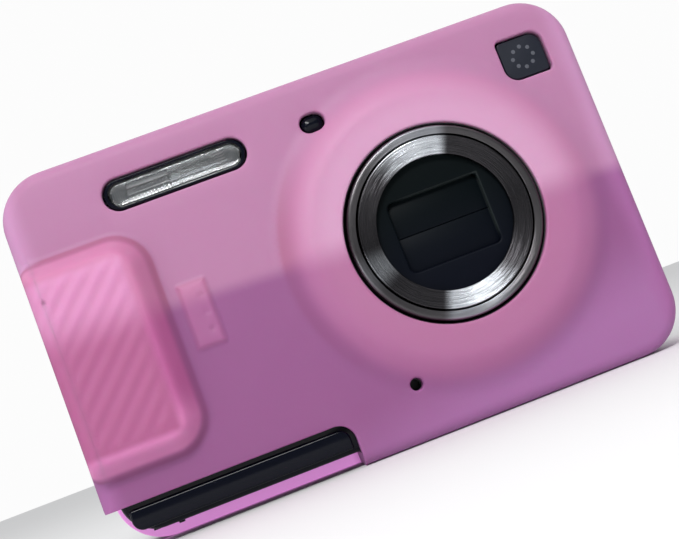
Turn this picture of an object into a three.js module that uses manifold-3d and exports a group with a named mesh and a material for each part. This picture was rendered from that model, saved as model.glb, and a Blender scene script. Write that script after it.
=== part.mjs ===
// A compact zoom camera in a soft silicone sleeve, built as an assembly of its separate pieces.
// Millimetres, +Z up, +X to the right when the lens is faced. The lens looks along -Y.
// The origin is the centre of the bounding box in X and Y, on the surface that the sleeve stands on.
import * as THREE from "three";
import { mergeVertices } from "three/addons/utils/BufferGeometryUtils.js";
import Module from "manifold-3d";

// ---- Driving dimensions ----
const SLEEVE_WIDTH = 95.5;
const SLEEVE_HEIGHT = 61;
const SLEEVE_DEPTH = 27;
const SLEEVE_WALL = 2;
const SLEEVE_CORNER = 8;
const SLEEVE_EDGE = 2.2;
const GRIP_RISE = 4.8; // how far the grip stands in front of the sleeve's front sheet
const RING_RISE = 2.5; // the raised ring round the lens
const FIT = 0.3; // gap between neighbouring pieces
const COVER_WALL = 1.2;
const COVER_EDGE = 1.1; // bevel round the covers' outer edges

const LENS_X = 17;
const LENS_Z = 30.8;
const LENS_HOLE_R = 16.3;
const OUTER_BARREL_R = 15.45;
const INNER_BARREL_R = 13.75;
const WINDOW_W = 15.2;
const WINDOW_H = 11.6;
const BLADE_TRAVEL = 4.9;

const FLASH = { x: -19.7, z: 53, w: 23.8, h: 5.4 };
const LAMP = { x: 3.4, z: 53.2, w: 4.1, h: 3.3 };
const BADGE = { x: 39.3, z: 51.8, w: 7.2, h: 6.6 };
const MIC = { x: 3.9, z: 8.9, r: 1 };
const GRIP = { x0: -47.6, x1: -27.5, z0: 11.3, z1: 47.3 };
const TAB = { x0: -26.2, x1: -20.5, z0: 25.1, z1: 36.7, rise: 0.6 };
const CORNER_CUT = { x1: -7.7, z1: 7.3, depth: 14.8, r: 2.8 };
const LENS_RING = { top: 22.6, base: 27 }; // radii of the raised ring's flat top and of its foot

// Openings of the sleeve's back, top, right side and bottom.
const BACK_OPENING = { x: 0.25, z: 29.5, w: 88.9, h: 47.4, r: 3 };
const SHUTTER_OPENING = { w: 16, d: 12, r: 5.5 };
const POWER_OPENING = { w: 11, d: 9, r: 4 };
const PORT_OPENING = { y: 2.1, z: 19.5, w: 13.8, h: 15, r: 2 };
const LUG_OPENING = { w: 7, h: 11, r: 2 };
const TRIPOD_OPENING_R = 5.4;

// ---- Planes that follow from them ----
const FRONT = GRIP_RISE - (SLEEVE_DEPTH + GRIP_RISE) / 2; // the sleeve's front sheet
const BACK = FRONT + SLEEVE_DEPTH;
const MID_Z = SLEEVE_HEIGHT / 2;
const SLEEVE_SIDE = SLEEVE_WIDTH / 2;
const BODY_FRONT = FRONT + SLEEVE_WALL + FIT;
const BODY_BACK = BACK - SLEEVE_WALL - FIT;
const BODY_W = SLEEVE_WIDTH - 2 * (SLEEVE_WALL + FIT);
const BODY_H = SLEEVE_HEIGHT - 2 * (SLEEVE_WALL + FIT);
const BODY_CORNER = SLEEVE_CORNER - SLEEVE_WALL - FIT;
const BODY_BOTTOM = SLEEVE_WALL + FIT;
const BODY_TOP = BODY_BOTTOM + BODY_H;
const BODY_SIDE = BODY_W / 2;
const SEAM = 2; // where the front and rear covers meet
const BARREL_FRONT = FRONT - 2.8;

// ---- Solids ----
const wasm = await Module();
wasm.setup();

function solid(geometry) {
  const bare = geometry.index ? geometry.toNonIndexed() : geometry.clone();
  bare.deleteAttribute("normal");
  bare.deleteAttribute("uv");
  const merged = mergeVertices(bare, 1e-4);
  const vertProperties = merged.getAttribute("position").array;
  const triVerts = new Uint32Array(merged.index.array);
  return new wasm.Manifold(new wasm.Mesh({ numProp: 3, vertProperties, triVerts }));
}

function box(x0, x1, y0, y1, z0, z1) {
  const shape = new THREE.BoxGeometry(x1 - x0, y1 - y0, z1 - z0);
  return solid(shape.translate((x0 + x1) / 2, (y0 + y1) / 2, (z0 + z1) / 2));
}

// A rounded rectangle about a centre, with one radius or four: lower left, lower right, upper right
// and upper left.
function rounded(w, h, radius, cx = 0, cy = 0) {
  const [a, b, c, d] = Array.isArray(radius) ? radius : [radius, radius, radius, radius];
  const [x0, x1, y0, y1] = [cx - w / 2, cx + w / 2, cy - h / 2, cy + h / 2];
  const shape = new THREE.Shape();
  shape.moveTo(x0 + a, y0);
  shape.lineTo(x1 - b, y0);
  if (b) shape.absarc(x1 - b, y0 + b, b, -Math.PI / 2, 0);
  shape.lineTo(x1, y1 - c);
  if (c) shape.absarc(x1 - c, y1 - c, c, 0, Math.PI / 2);
  shape.lineTo(x0 + d, y1);
  if (d) shape.absarc(x0 + d, y1 - d, d, Math.PI / 2, Math.PI);
  shape.lineTo(x0, y0 + a);
  if (a) shape.absarc(x0 + a, y0 + a, a, Math.PI, 1.5 * Math.PI);
  return shape;
}

function circle(r, cx = 0, cy = 0) {
  return new THREE.Shape().absarc(cx, cy, r, 0, 2 * Math.PI);
}

// Extrudes an outline along local z, with an edge bevel at each end that stays inside the outline.
function extrude(shape, depth, { edge = 0, edgeSteps = 1, steps = 2 } = {}) {
  return new THREE.ExtrudeGeometry(shape, {
    depth: depth - 2 * edge,
    bevelEnabled: edge > 0,
    bevelThickness: edge,
    bevelSize: edge,
    bevelOffset: -edge,
    bevelSegments: edgeSteps,
    curveSegments: steps,
  }).translate(0, 0, edge);
}

// An outline drawn as the front is seen (x right, z up), from y0 back to y1.
function frontSlab(shape, y0, y1, options) {
  return solid(extrude(shape, y1 - y0, options).rotateX(Math.PI / 2).translate(0, y1, 0));
}

// An outline drawn in plan (x, y), from z0 up to z1.
function planSlab(shape, z0, z1, options) {
  return solid(extrude(shape, z1 - z0, options).translate(0, 0, z0));
}

// An outline drawn as the right side is seen (y, z), from x0 to x1.
function sideSlab(shape, x0, x1, options) {
  const turned = extrude(shape, x1 - x0, options).rotateX(Math.PI / 2).rotateZ(Math.PI / 2);
  return solid(turned.translate(x0, 0, 0));
}

// A profile of [radius, y] points turned about an axis along Y at (x, z), in either direction. It starts
// and ends on the axis, or closes on itself.
function turned(points, x, z, steps = 32) {
  const profile = points.map(([r, y]) => new THREE.Vector2(r, y));
  const made = solid(new THREE.LatheGeometry(profile, steps));
  const outward = made.volume() > 0 ? made : solid(new THREE.LatheGeometry(profile.reverse(), steps));
  return outward.translate([x, 0, z]);
}

function disc(r, y0, y1, x, z, steps = 24) {
  return turned([[0, y0], [r, y0], [r, y1], [0, y1]], x, z, steps);
}

function tube(rIn, rOut, y0, y1, x, z, steps = 32) {
  return turned([[rIn, y0], [rOut, y0], [rOut, y1], [rIn, y1], [rIn, y0]], x, z, steps);
}

// A round post along Z.
function post(r, z0, z1, x, y, steps = 24) {
  const rod = new THREE.CylinderGeometry(r, r, z1 - z0, steps).rotateX(Math.PI / 2);
  return solid(rod.translate(x, y, (z0 + z1) / 2));
}

// A round rod along X.
function rod(r, x0, x1, y, z, steps = 20) {
  const made = new THREE.CylinderGeometry(r, r, x1 - x0, steps).rotateZ(Math.PI / 2);
  return solid(made.translate((x0 + x1) / 2, y, z));
}

function union(...pieces) {
  return pieces.reduce((a, b) => a.add(b));
}

function cut(body, ...tools) {
  return tools.reduce((a, b) => a.subtract(b), body);
}

// ---- Finishes ----
function finish(color, roughness, metalness = 0, opacity = 1) {
  return new THREE.MeshStandardMaterial({
    color,
    roughness,
    metalness,
    opacity,
    transparent: opacity < 1,
  });
}

const SILICONE = finish(0xd686b8, 0.45);
const BLACK_GLOSS = finish(0x14171c, 0.12);
const BLACK_MATT = finish(0x17181b, 0.55);
const SATIN_SILVER = finish(0x9a9ea2, 0.3, 1);
const GUNMETAL = finish(0x73777c, 0.28, 1);
const BLACK_DISC = finish(0x0a0d12, 0.3);
const GLASS = finish(0x9fb4b0, 0.05, 0, 0.4);
const MIRROR = finish(0xc9cdd0, 0.1, 1);
const SLATE = finish(0x2b2f3a, 0.35);
const BOARD = finish(0x1d5a3a, 0.5);
const STEEL = finish(0xa9acb0, 0.3, 1);
const BRASS = finish(0xb8954a, 0.3, 1);
const GREY_PLASTIC = finish(0x3a3d42, 0.5);
const SCREEN = finish(0x07080a, 0.08);
const RED = finish(0xb3202a, 0.35);

const camera = new THREE.Group();
const lens = new THREE.Group(); // pieces on the lens axis are drawn about it
lens.position.set(LENS_X, 0, LENS_Z);
camera.add(lens);

function add(name, made, material, parent = camera) {
  const mesh = made.getMesh();
  const geometry = new THREE.BufferGeometry();
  const n = mesh.numProp;
  const xyz = new Float32Array(mesh.numVert * 3);
  for (let i = 0; i < mesh.numVert; i++) {
    xyz.set(mesh.vertProperties.subarray(i * n, i * n + 3), i * 3);
  }
  geometry.setAttribute("position", new THREE.BufferAttribute(xyz, 3));
  geometry.setIndex(new THREE.BufferAttribute(mesh.triVerts, 1));
  geometry.computeVertexNormals();
  const node = new THREE.Mesh(geometry, material);
  node.name = name;
  parent.add(node);
  return node;
}

// ---- Where the controls sit ----
const SHUTTER = { x: -33, y: 2.2, r: 5, travel: 1 };
const POWER = { x: -13, y: 2.6, r: 3, travel: 0.5 };
const REAR_BUTTONS = [
  { name: "record_button", x: -22.3, z: 43, r: 2.6, look: RED },
  { name: "playback_button", x: -20.2, z: 35.6, r: 2.2, look: GREY_PLASTIC },
  { name: "menu_button", x: -38.2, z: 13.4, r: 2.2, look: GREY_PLASTIC },
  { name: "delete_button", x: -20.2, z: 13.4, r: 2.2, look: GREY_PLASTIC },
];
const RING = { x: -29.2, z: 24.4, r: 9, hub: 6, hole: 4.6, set: 4 };
const ROCKER = { x: -34.2, z: 44.2, w: 13, h: 6.4, hub: 3.4 };
const SCREEN_AREA = { x0: -13.7, x1: 42.7, z0: 7.6, z1: 51.4 };
const TRIPOD = { x: 4, y: 4.6, r: 4, bore: 2.55 };
const PORT = { y0: -2.2, y1: 6, z0: 14, z1: 25 };
const LUG = { y: 2.3, z: 44 };
const DOOR = { x0: -41.8, x1: -10.2, y0: -7, y1: 3.1, pinZ: 3.75 };
const TOP_PANEL = { x: -20, y: 2.2, w: 42, d: 12.4 };
const SCREWS = { at: [22, 37], y: -3, headR: 1.5, shankR: 0.55 };

// ---- The silicone sleeve ----
function openingShape({ w, h, d, r }, cx, cy) {
  return rounded(w, h ?? d, r, cx, cy);
}

function sleeve() {
  const shell = frontSlab(
    rounded(SLEEVE_WIDTH, SLEEVE_HEIGHT, SLEEVE_CORNER, 0, MID_Z),
    FRONT,
    BACK,
    { edge: SLEEVE_EDGE, edgeSteps: 2, steps: 3 },
  );
  const hollow = frontSlab(
    rounded(BODY_W + 2 * FIT, BODY_H + 2 * FIT, BODY_CORNER + FIT, 0, MID_Z),
    FRONT + SLEEVE_WALL,
    BACK - SLEEVE_WALL,
    { edge: 0.8, edgeSteps: 1, steps: 2 },
  );
  const gripW = GRIP.x1 - GRIP.x0;
  const gripH = GRIP.z1 - GRIP.z0;
  const grip = frontSlab(
    rounded(gripW, gripH, 3.6, GRIP.x0 + gripW / 2, GRIP.z0 + gripH / 2),
    FRONT - GRIP_RISE,
    FRONT + SLEEVE_WALL + 2,
    { edge: 2, edgeSteps: 2, steps: 2 },
  );
  const ring = turned(
    [
      [0, FRONT + 1],
      [LENS_RING.base, FRONT + 1],
      [LENS_RING.base, FRONT - 0.05],
      [LENS_RING.base - 1.8, FRONT - 0.28 * RING_RISE],
      [LENS_RING.top + 1.2, FRONT - 0.76 * RING_RISE],
      [LENS_RING.top, FRONT - RING_RISE],
      [0, FRONT - RING_RISE],
    ],
    LENS_X,
    LENS_Z,
    40,
  );
  const tab = frontSlab(
    rounded(TAB.x1 - TAB.x0, TAB.z1 - TAB.z0, 0.8, (TAB.x0 + TAB.x1) / 2, (TAB.z0 + TAB.z1) / 2),
    FRONT - TAB.rise,
    FRONT + 1,
    { edge: 0.3, edgeSteps: 1, steps: 1 },
  );
  const through = BODY_FRONT + 1;
  const rearCutEdge = BACK - SLEEVE_WALL - 1;
  const cornerCut = frontSlab(
    rounded(60, 20, [0, 0, CORNER_CUT.r, 0], CORNER_CUT.x1 - 30, CORNER_CUT.z1 - 10),
    FRONT - 2,
    FRONT + CORNER_CUT.depth,
  );
  const badgeHole = rounded(BADGE.w + 2 * FIT, BADGE.h + 2 * FIT, 1.4, BADGE.x, BADGE.z);
  const backHole = openingShape(BACK_OPENING, BACK_OPENING.x, BACK_OPENING.z);
  const shutterHole = openingShape(SHUTTER_OPENING, SHUTTER.x, SHUTTER.y);
  const powerHole = openingShape(POWER_OPENING, POWER.x, POWER.y);
  const portHole = openingShape(PORT_OPENING, PORT_OPENING.y, PORT_OPENING.z);
  const lugHole = openingShape(LUG_OPENING, LUG.y, LUG.z);
  return cut(
    union(shell.subtract(hollow), cut(union(grip, ring, tab), hollow)),
    disc(LENS_HOLE_R, FRONT - 6, through, LENS_X, LENS_Z, 40),
    frontSlab(rounded(FLASH.w, FLASH.h, FLASH.h / 2, FLASH.x, FLASH.z), FRONT - 2, through),
    frontSlab(rounded(LAMP.w, LAMP.h, LAMP.h / 2, LAMP.x, LAMP.z), FRONT - 2, through),
    frontSlab(badgeHole, FRONT - 2, through, { steps: 1 }),
    disc(MIC.r, FRONT - 2, through, MIC.x, MIC.z, 16),
    cornerCut,
    frontSlab(backHole, rearCutEdge, BACK + 1, { steps: 2 }),
    planSlab(shutterHole, BODY_TOP - 1, SLEEVE_HEIGHT + 1),
    planSlab(powerHole, BODY_TOP - 1, SLEEVE_HEIGHT + 1),
    sideSlab(portHole, BODY_SIDE - 1, SLEEVE_SIDE + 1, { steps: 1 }),
    sideSlab(lugHole, BODY_SIDE - 1, SLEEVE_SIDE + 1, { steps: 1 }),
    post(TRIPOD_OPENING_R, -1, BODY_BOTTOM + 1, TRIPOD.x, TRIPOD.y),
  );
}
add("silicone_sleeve", sleeve(), SILICONE);

// ---- The two covers ----
function caseShell() {
  const outside = frontSlab(
    rounded(BODY_W, BODY_H, BODY_CORNER, 0, MID_Z),
    BODY_FRONT,
    BODY_BACK,
    { edge: COVER_EDGE, edgeSteps: 1, steps: 3 },
  );
  const inside = frontSlab(
    rounded(BODY_W - 2 * COVER_WALL, BODY_H - 2 * COVER_WALL, BODY_CORNER - COVER_WALL, 0, MID_Z),
    BODY_FRONT + COVER_WALL,
    BODY_BACK - COVER_WALL,
    { steps: 2 },
  );
  const { x0, x1, y0, y1, pinZ } = DOOR;
  const doorHole = box(x0 - FIT, x1 + 2.1, y0 - FIT, y1 + FIT, 0, pinZ + 1.6);
  const topHole = rounded(TOP_PANEL.w + 2 * FIT, TOP_PANEL.d + 2 * FIT, 2.3, TOP_PANEL.x, TOP_PANEL.y);
  const portW = PORT.y1 - PORT.y0 + 2 * FIT + 0.9;
  const portH = PORT.z1 - PORT.z0 + 2 * FIT;
  const portHole = rounded(portW, portH, 0.8, (PORT.y0 + PORT.y1) / 2 + 0.45, (PORT.z0 + PORT.z1) / 2);
  return cut(
    outside,
    inside,
    doorHole,
    planSlab(topHole, BODY_TOP - COVER_WALL - 1, BODY_TOP + 1, { steps: 1 }),
    sideSlab(portHole, BODY_SIDE - 2, BODY_SIDE + 1, { steps: 1 }),
    sideSlab(rounded(2.6, 6.6, 0.5, LUG.y, LUG.z), BODY_SIDE - 2, BODY_SIDE + 1, { steps: 1 }),
    post(TRIPOD.r + FIT, 0, BODY_BOTTOM + 2, TRIPOD.x, TRIPOD.y),
    ...SCREWS.at.map((x) => post(SCREWS.headR + FIT, 0, BODY_BOTTOM + 0.8, x, SCREWS.y)),
    ...SCREWS.at.map((x) => post(SCREWS.shankR + 0.35, 0, BODY_BOTTOM + 2, x, SCREWS.y)),
  );
}

const shell = caseShell();
const frontHalf = box(-60, 60, BODY_FRONT - 1, SEAM, -1, 70);
const rearHalf = box(-60, 60, SEAM + FIT, BODY_BACK + 1, -1, 70);
const FLASH_BEZEL = { w: FLASH.w - 2 * FIT, h: FLASH.h - 2 * FIT };

function frontCover() {
  const y0 = BODY_FRONT - 1;
  const y1 = BODY_FRONT + COVER_WALL + 1;
  const flashHole = rounded(FLASH.w, FLASH.h, FLASH.h / 2, FLASH.x, FLASH.z);
  const lampHole = rounded(LAMP.w, LAMP.h, LAMP.h / 2, LAMP.x, LAMP.z);
  return cut(
    shell.intersect(frontHalf),
    disc(LENS_HOLE_R + 0.2, y0, y1, LENS_X, LENS_Z, 40),
    frontSlab(flashHole, y0, y1),
    frontSlab(lampHole, y0, y1),
    disc(MIC.r - 0.3, y0, y1, MIC.x, MIC.z, 12),
  );
}
add("front_cover", frontCover(), BLACK_GLOSS);

function rearCover() {
  const y0 = BODY_BACK - COVER_WALL - 1;
  const y1 = BODY_BACK + 1;
  const { x0, x1, z0, z1 } = SCREEN_AREA;
  const w = x1 - x0 + 2 * FIT;
  const h = z1 - z0 + 2 * FIT;
  const screenHole = rounded(w, h, 1.6, (x0 + x1) / 2, (z0 + z1) / 2);
  return cut(
    shell.intersect(rearHalf),
    frontSlab(screenHole, y0, y1, { steps: 1 }),
    ...REAR_BUTTONS.map(({ x, z, r }) => disc(r + FIT, y0, y1, x, z, 20)),
    disc(RING.hub + 0.8, y0, y1, RING.x, RING.z, 32),
    disc(ROCKER.hub + 0.5, y0, y1, ROCKER.x, ROCKER.z, 24),
  );
}
add("rear_cover", rearCover(), BLACK_MATT);

function topPanel() {
  const { x, y, w, d } = TOP_PANEL;
  return cut(
    planSlab(rounded(w, d, 2, x, y), BODY_TOP - COVER_WALL, BODY_TOP, { edge: 0.25, steps: 2 }),
    post(SHUTTER.r + FIT, BODY_TOP - 3, BODY_TOP + 1, SHUTTER.x, SHUTTER.y, 32),
    post(POWER.r + FIT, BODY_TOP - 3, BODY_TOP + 1, POWER.x, POWER.y),
  );
}
add("top_panel", topPanel(), BLACK_GLOSS);

// The raised trim strip that the sleeve's corner cut-out shows.
const TRIM = { x0: -44.2, x1: -8.5, z0: 3.1, z1: 6.5 };
const trimShape = rounded(
  TRIM.x1 - TRIM.x0,
  TRIM.z1 - TRIM.z0,
  [2.6, 0.4, 1.9, 0.4],
  (TRIM.x0 + TRIM.x1) / 2,
  (TRIM.z0 + TRIM.z1) / 2,
);
const TRIM_BACK = BODY_FRONT - FIT;
const TRIM_DEPTH = 0.9;
const trim = frontSlab(trimShape, TRIM_BACK - TRIM_DEPTH, TRIM_BACK, { edge: 0.3 });
add("lower_trim", trim, BLACK_GLOSS);

// ---- Lens ----
const HOUSING_BACK = 6.9;
const HOUSING_R = 17;
const SENSOR_HOLE_R = 6.6;
const CAM = { y0: -6.5, teethBack: -3.6, y1: 3, rIn: 17.3, rOut: 18.3 };
const TOOTH = { module: 0.8, ring: 48, pinion: 10, root: 0.9, tip: 0.55, angle: Math.PI / 6 };

function lensHousing() {
  const collar = OUTER_BARREL_R + FIT;
  return turned(
    [
      [collar, BARREL_FRONT + 1.2],
      [LENS_HOLE_R - 0.15, BARREL_FRONT + 1.2],
      [LENS_HOLE_R - 0.15, BODY_FRONT + COVER_WALL],
      [HOUSING_R, BODY_FRONT + COVER_WALL + FIT],
      [HOUSING_R, HOUSING_BACK],
      [SENSOR_HOLE_R, HOUSING_BACK],
      [SENSOR_HOLE_R, HOUSING_BACK - 1],
      [collar, HOUSING_BACK - 1],
      [collar, BARREL_FRONT + 1.2],
    ],
    0,
    0,
    36,
  );
}
add("lens_housing", lensHousing(), BLACK_MATT, lens);

const outerBarrel = tube(INNER_BARREL_R + FIT, OUTER_BARREL_R, BARREL_FRONT, 1.6, 0, 0, 36);
add("outer_barrel", outerBarrel, SATIN_SILVER, lens);

// The inner barrel's front is a dished ring round a black disc.
const DISH = { rIn: 10.75, depth: 0.9, wall: 0.35 };
const INNER_BORE_R = 13;
const innerBarrel = turned(
  [
    [DISH.rIn, BARREL_FRONT + DISH.depth],
    [INNER_BARREL_R - 0.15, BARREL_FRONT - 0.1],
    [INNER_BARREL_R, BARREL_FRONT + 0.1],
    [INNER_BARREL_R, 0.6],
    [INNER_BORE_R, 0.6],
    [INNER_BORE_R, BARREL_FRONT + DISH.depth + DISH.wall],
    [DISH.rIn, BARREL_FRONT + DISH.depth + DISH.wall],
    [DISH.rIn, BARREL_FRONT + DISH.depth],
  ],
  0,
  0,
  56,
);
add("inner_barrel", innerBarrel, GUNMETAL, lens);

const DISC_FRONT = BARREL_FRONT + DISH.depth + DISH.wall + FIT;
const discRing = cut(
  disc(INNER_BORE_R - FIT, DISC_FRONT, DISC_FRONT + 0.8, 0, 0, 32),
  frontSlab(rounded(WINDOW_W, WINDOW_H, 1), DISC_FRONT - 1, DISC_FRONT + 2, { steps: 1 }),
);
add("front_disc", discRing, BLACK_DISC, lens);

// Two barrier blades close the window and slide apart, up and down, as the barrels come out. Each is
// rounded so that it stays inside the barrel when it is open.
const BLADE_FRONT = DISC_FRONT + 1.1;
const BLADE = { reach: 12.75, halfWidth: 8.6, thickness: 0.5, gap: 0.05 };
function blade(up) {
  const { reach, halfWidth, thickness, gap } = BLADE;
  const outline = disc(reach, BLADE_FRONT, BLADE_FRONT + thickness, 0, -up * BLADE_TRAVEL, 36);
  const [z0, z1] = up > 0 ? [gap, reach] : [-reach, -gap];
  return outline.intersect(box(-halfWidth, halfWidth, -20, 20, z0, z1));
}
add("barrier_blade_upper", blade(1), BLACK_MATT, lens);
add("barrier_blade_lower", blade(-1), BLACK_MATT, lens);

// A lens element is a disc with a bulging front and back.
function element(r, y0, y1, bulge) {
  const front = Array.from({ length: 4 }, (_, i) => {
    const t = i / 3;
    return [r * Math.sin((t * Math.PI) / 2), y0 - bulge * Math.cos((t * Math.PI) / 2) + bulge];
  });
  return turned([...front, [r, y1], [0, y1]], 0, 0, 24);
}
add("front_lens", element(8.4, BLADE_FRONT + 0.9, BLADE_FRONT + 3.6, 1.6), GLASS, lens);
add("shutter_unit", tube(3.2, 12.6, -6.6, -4.2, 0, 0, 28), BLACK_MATT, lens);
add("rear_lens", element(4.6, 2.5, 4.3, 0.8), GLASS, lens);
add("focus_carriage", tube(4.9, 12, 2.6, 4.2, 0, 0, 24), GREY_PLASTIC, lens);

// Gear outline with straight-sided teeth, one of them centred on the given angle.
function gearShape(teeth, root, tip, angle) {
  const shape = new THREE.Shape();
  const pitch = (2 * Math.PI) / teeth;
  const corners = [
    [-0.31, root],
    [-0.13, tip],
    [0.13, tip],
    [0.31, root],
  ];
  for (let i = 0; i < teeth; i++) {
    for (const [part, r] of corners) {
      const a = angle + (i + part) * pitch;
      const at = [r * Math.cos(a), r * Math.sin(a)];
      if (i === 0 && part < -0.3) shape.moveTo(...at);
      else shape.lineTo(...at);
    }
  }
  return shape;
}
const pitchR = (teeth) => (TOOTH.module * teeth) / 2;
const ringR = pitchR(TOOTH.ring);
const pinionR = pitchR(TOOTH.pinion);
const ringTeeth = gearShape(TOOTH.ring, ringR - TOOTH.root, ringR + TOOTH.tip, TOOTH.angle);
const ringGear = frontSlab(ringTeeth, CAM.y0, CAM.teethBack);
const camTube = tube(CAM.rIn, CAM.rOut, CAM.y0, CAM.y1, 0, 0, 36);
const camBore = disc(CAM.rIn, CAM.y0 - 1, CAM.y1 + 1, 0, 0, 36);
add("cam_ring", union(ringGear, camTube).subtract(camBore), GREY_PLASTIC, lens);

const driveX = (ringR + pinionR) * Math.cos(TOOTH.angle);
const driveZ = (ringR + pinionR) * Math.sin(TOOTH.angle);
const facing = TOOTH.angle + Math.PI + Math.PI / TOOTH.pinion;
const pinionGear = frontSlab(
  gearShape(TOOTH.pinion, pinionR - TOOTH.root, pinionR + TOOTH.tip, facing),
  CAM.y0 + 0.1,
  CAM.teethBack - 0.1,
);
const pinionBore = disc(1.1, CAM.y0 - 1, CAM.teethBack + 1, 0, 0, 20);
const pinion = pinionGear.subtract(pinionBore).translate([driveX, 0, driveZ]);
add("motor_pinion", pinion, BRASS, lens);

const motor = union(
  disc(4.1, CAM.teethBack + 1, 8, driveX, driveZ, 28),
  disc(0.8, CAM.y0, CAM.teethBack + 1.5, driveX, driveZ, 16),
);
add("zoom_motor", motor, STEEL, lens);

add("image_sensor", box(-4.4, 4.4, HOUSING_BACK - 1.3, HOUSING_BACK + 0.1, -3.4, 3.4), SCREEN, lens);
add("sensor_plate", frontSlab(rounded(26, 24, 2), HOUSING_BACK + 0.4, HOUSING_BACK + 1.3), STEEL, lens);

// ---- Flash ----
const BEZEL_FRONT = FRONT + 0.6;
const bezel = cut(
  frontSlab(
    rounded(FLASH_BEZEL.w, FLASH_BEZEL.h, FLASH_BEZEL.h / 2, FLASH.x, FLASH.z),
    BEZEL_FRONT,
    BODY_FRONT + COVER_WALL,
    { edge: 0.2 },
  ),
  frontSlab(rounded(22, 4, 2, FLASH.x, FLASH.z), BEZEL_FRONT - 1, BODY_FRONT + 3),
);
add("flash_bezel", bezel, BLACK_GLOSS);
const windowShape = rounded(21.4, 3.4, 1.7, FLASH.x, FLASH.z);
add("flash_window", frontSlab(windowShape, BEZEL_FRONT + 0.25, BEZEL_FRONT + 1.35), GLASS);

const reflector = cut(
  box(FLASH.x - 11.4, FLASH.x + 11.4, BODY_FRONT + COVER_WALL + 0.3, -2.6, FLASH.z - 2.4, FLASH.z + 2.4),
  solid(
    new THREE.CylinderGeometry(1.9, 1.9, 20.4, 20)
      .rotateZ(Math.PI / 2)
      .scale(1, 2.2, 1)
      .translate(FLASH.x, BODY_FRONT + COVER_WALL, FLASH.z),
  ),
);
add("flash_reflector", reflector, MIRROR);
add("flash_tube", rod(0.8, FLASH.x - 9.6, FLASH.x + 9.6, -5.1, FLASH.z, 12), GLASS);
add("flash_capacitor", rod(3.4, -29, -7, 6, 51.6, 24), BLACK_MATT);

// ---- Front trim, lamp and microphone ----
function lampLens() {
  const stem = rounded(LAMP.w - 2 * FIT, LAMP.h - 2 * FIT, LAMP.h / 2 - FIT, LAMP.x, LAMP.z);
  return frontSlab(stem, FRONT + 0.5, BODY_FRONT + COVER_WALL + 1, { edge: 0.5, edgeSteps: 2 });
}
add("af_lamp_lens", lampLens(), BLACK_GLOSS);
const badgeShape = rounded(BADGE.w, BADGE.h, [2, 0.7, 2, 0.7], BADGE.x, BADGE.z);
add("badge_plate", frontSlab(badgeShape, FRONT + 0.7, BODY_FRONT - FIT, { edge: 0.2 }), SLATE);
add("microphone", disc(2, BODY_FRONT + COVER_WALL + 0.3, -5.4, MIC.x, MIC.z, 20), STEEL);
add("speaker", disc(3.7, -6.8, -3.6, 38.5, 14, 24), BLACK_MATT);

// ---- Boards, battery and card ----
const BAY = { x0: -43, x1: -3.5 }; // the space between the case's left wall and the lens housing
add("chassis_plate", box(BAY.x0, BAY.x1, 4, 4.6, 6, 46), STEEL);
add("main_board", box(BAY.x0, BAY.x1, 5.2, 6.2, 7, 45.5), BOARD);
add("button_board", box(BAY.x0, -15, 9.9, 10.6, 8, 50), BOARD);
const BATTERY = { x0: -42, x1: -11.6, y0: -7.2, y1: -0.8, z0: 5.8, z1: 45 };
const batteryShape = rounded(
  BATTERY.x1 - BATTERY.x0,
  BATTERY.y1 - BATTERY.y0,
  1,
  (BATTERY.x0 + BATTERY.x1) / 2,
  (BATTERY.y0 + BATTERY.y1) / 2,
);
add("battery", planSlab(batteryShape, BATTERY.z0, BATTERY.z1, { edge: 0.4, steps: 1 }), GREY_PLASTIC);
add("battery_contacts", box(-33, -20, -6.4, -1.6, BATTERY.z1 + 0.3, BATTERY.z1 + 2.6), BRASS);
const slot = cut(
  box(-39.2, -12.8, 0.5, 3.6, 13, 40),
  box(-38.6, -13.4, 0.8, 3.3, 10, 39),
);
add("card_slot", slot, STEEL);
add("memory_card", box(-38, -14, 1, 3.1, 6, 38), GREY_PLASTIC);

// ---- Screen ----
const { x0: SX0, x1: SX1, z0: SZ0, z1: SZ1 } = SCREEN_AREA;
const glassShape = rounded(SX1 - SX0, SZ1 - SZ0, 1.3, (SX0 + SX1) / 2, (SZ0 + SZ1) / 2);
add("lcd_window", frontSlab(glassShape, BODY_BACK - 1, BODY_BACK + 0.2, { edge: 0.2 }), SCREEN);
add("lcd_panel", box(SX0 + 0.4, SX1 - 0.6, 9.9, BODY_BACK - COVER_WALL - 0.3, SZ0 + 0.6, SZ1 - 0.6), STEEL);

// ---- Buttons ----
// A cap that passes through a wall, with a wider foot behind it that holds it in.
function topButton(r, x, y, top) {
  const cap = planSlab(circle(r, x, y), BODY_TOP - 2, top, { edge: 0.5, steps: 12 });
  const foot = post(r + 1, BODY_TOP - COVER_WALL - 1.1, BODY_TOP - COVER_WALL - FIT, x, y, 28);
  return union(cap, foot);
}
add("shutter_button", topButton(SHUTTER.r, SHUTTER.x, SHUTTER.y, BODY_TOP + 1.9), SATIN_SILVER);
add("power_button", topButton(POWER.r, POWER.x, POWER.y, BODY_TOP + 0.8), SATIN_SILVER);

class Helix extends THREE.Curve {
  constructor(r, z0, z1, turns, x, y) {
    super();
    Object.assign(this, { r, z0, z1, turns, x, y });
  }
  getPoint(t, target = new THREE.Vector3()) {
    const a = 2 * Math.PI * this.turns * t;
    const z = this.z0 + (this.z1 - this.z0) * t;
    return target.set(this.x + this.r * Math.cos(a), this.y + this.r * Math.sin(a), z);
  }
}
const springTop = BODY_TOP - COVER_WALL - 1.6;
const spring = new THREE.ExtrudeGeometry(circle(0.2), {
  steps: 34,
  curveSegments: 2,
  bevelEnabled: false,
  extrudePath: new Helix(2.6, springTop - 2.8, springTop, 3.5, SHUTTER.x, SHUTTER.y),
});
add("shutter_spring", solid(spring), STEEL);

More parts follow.
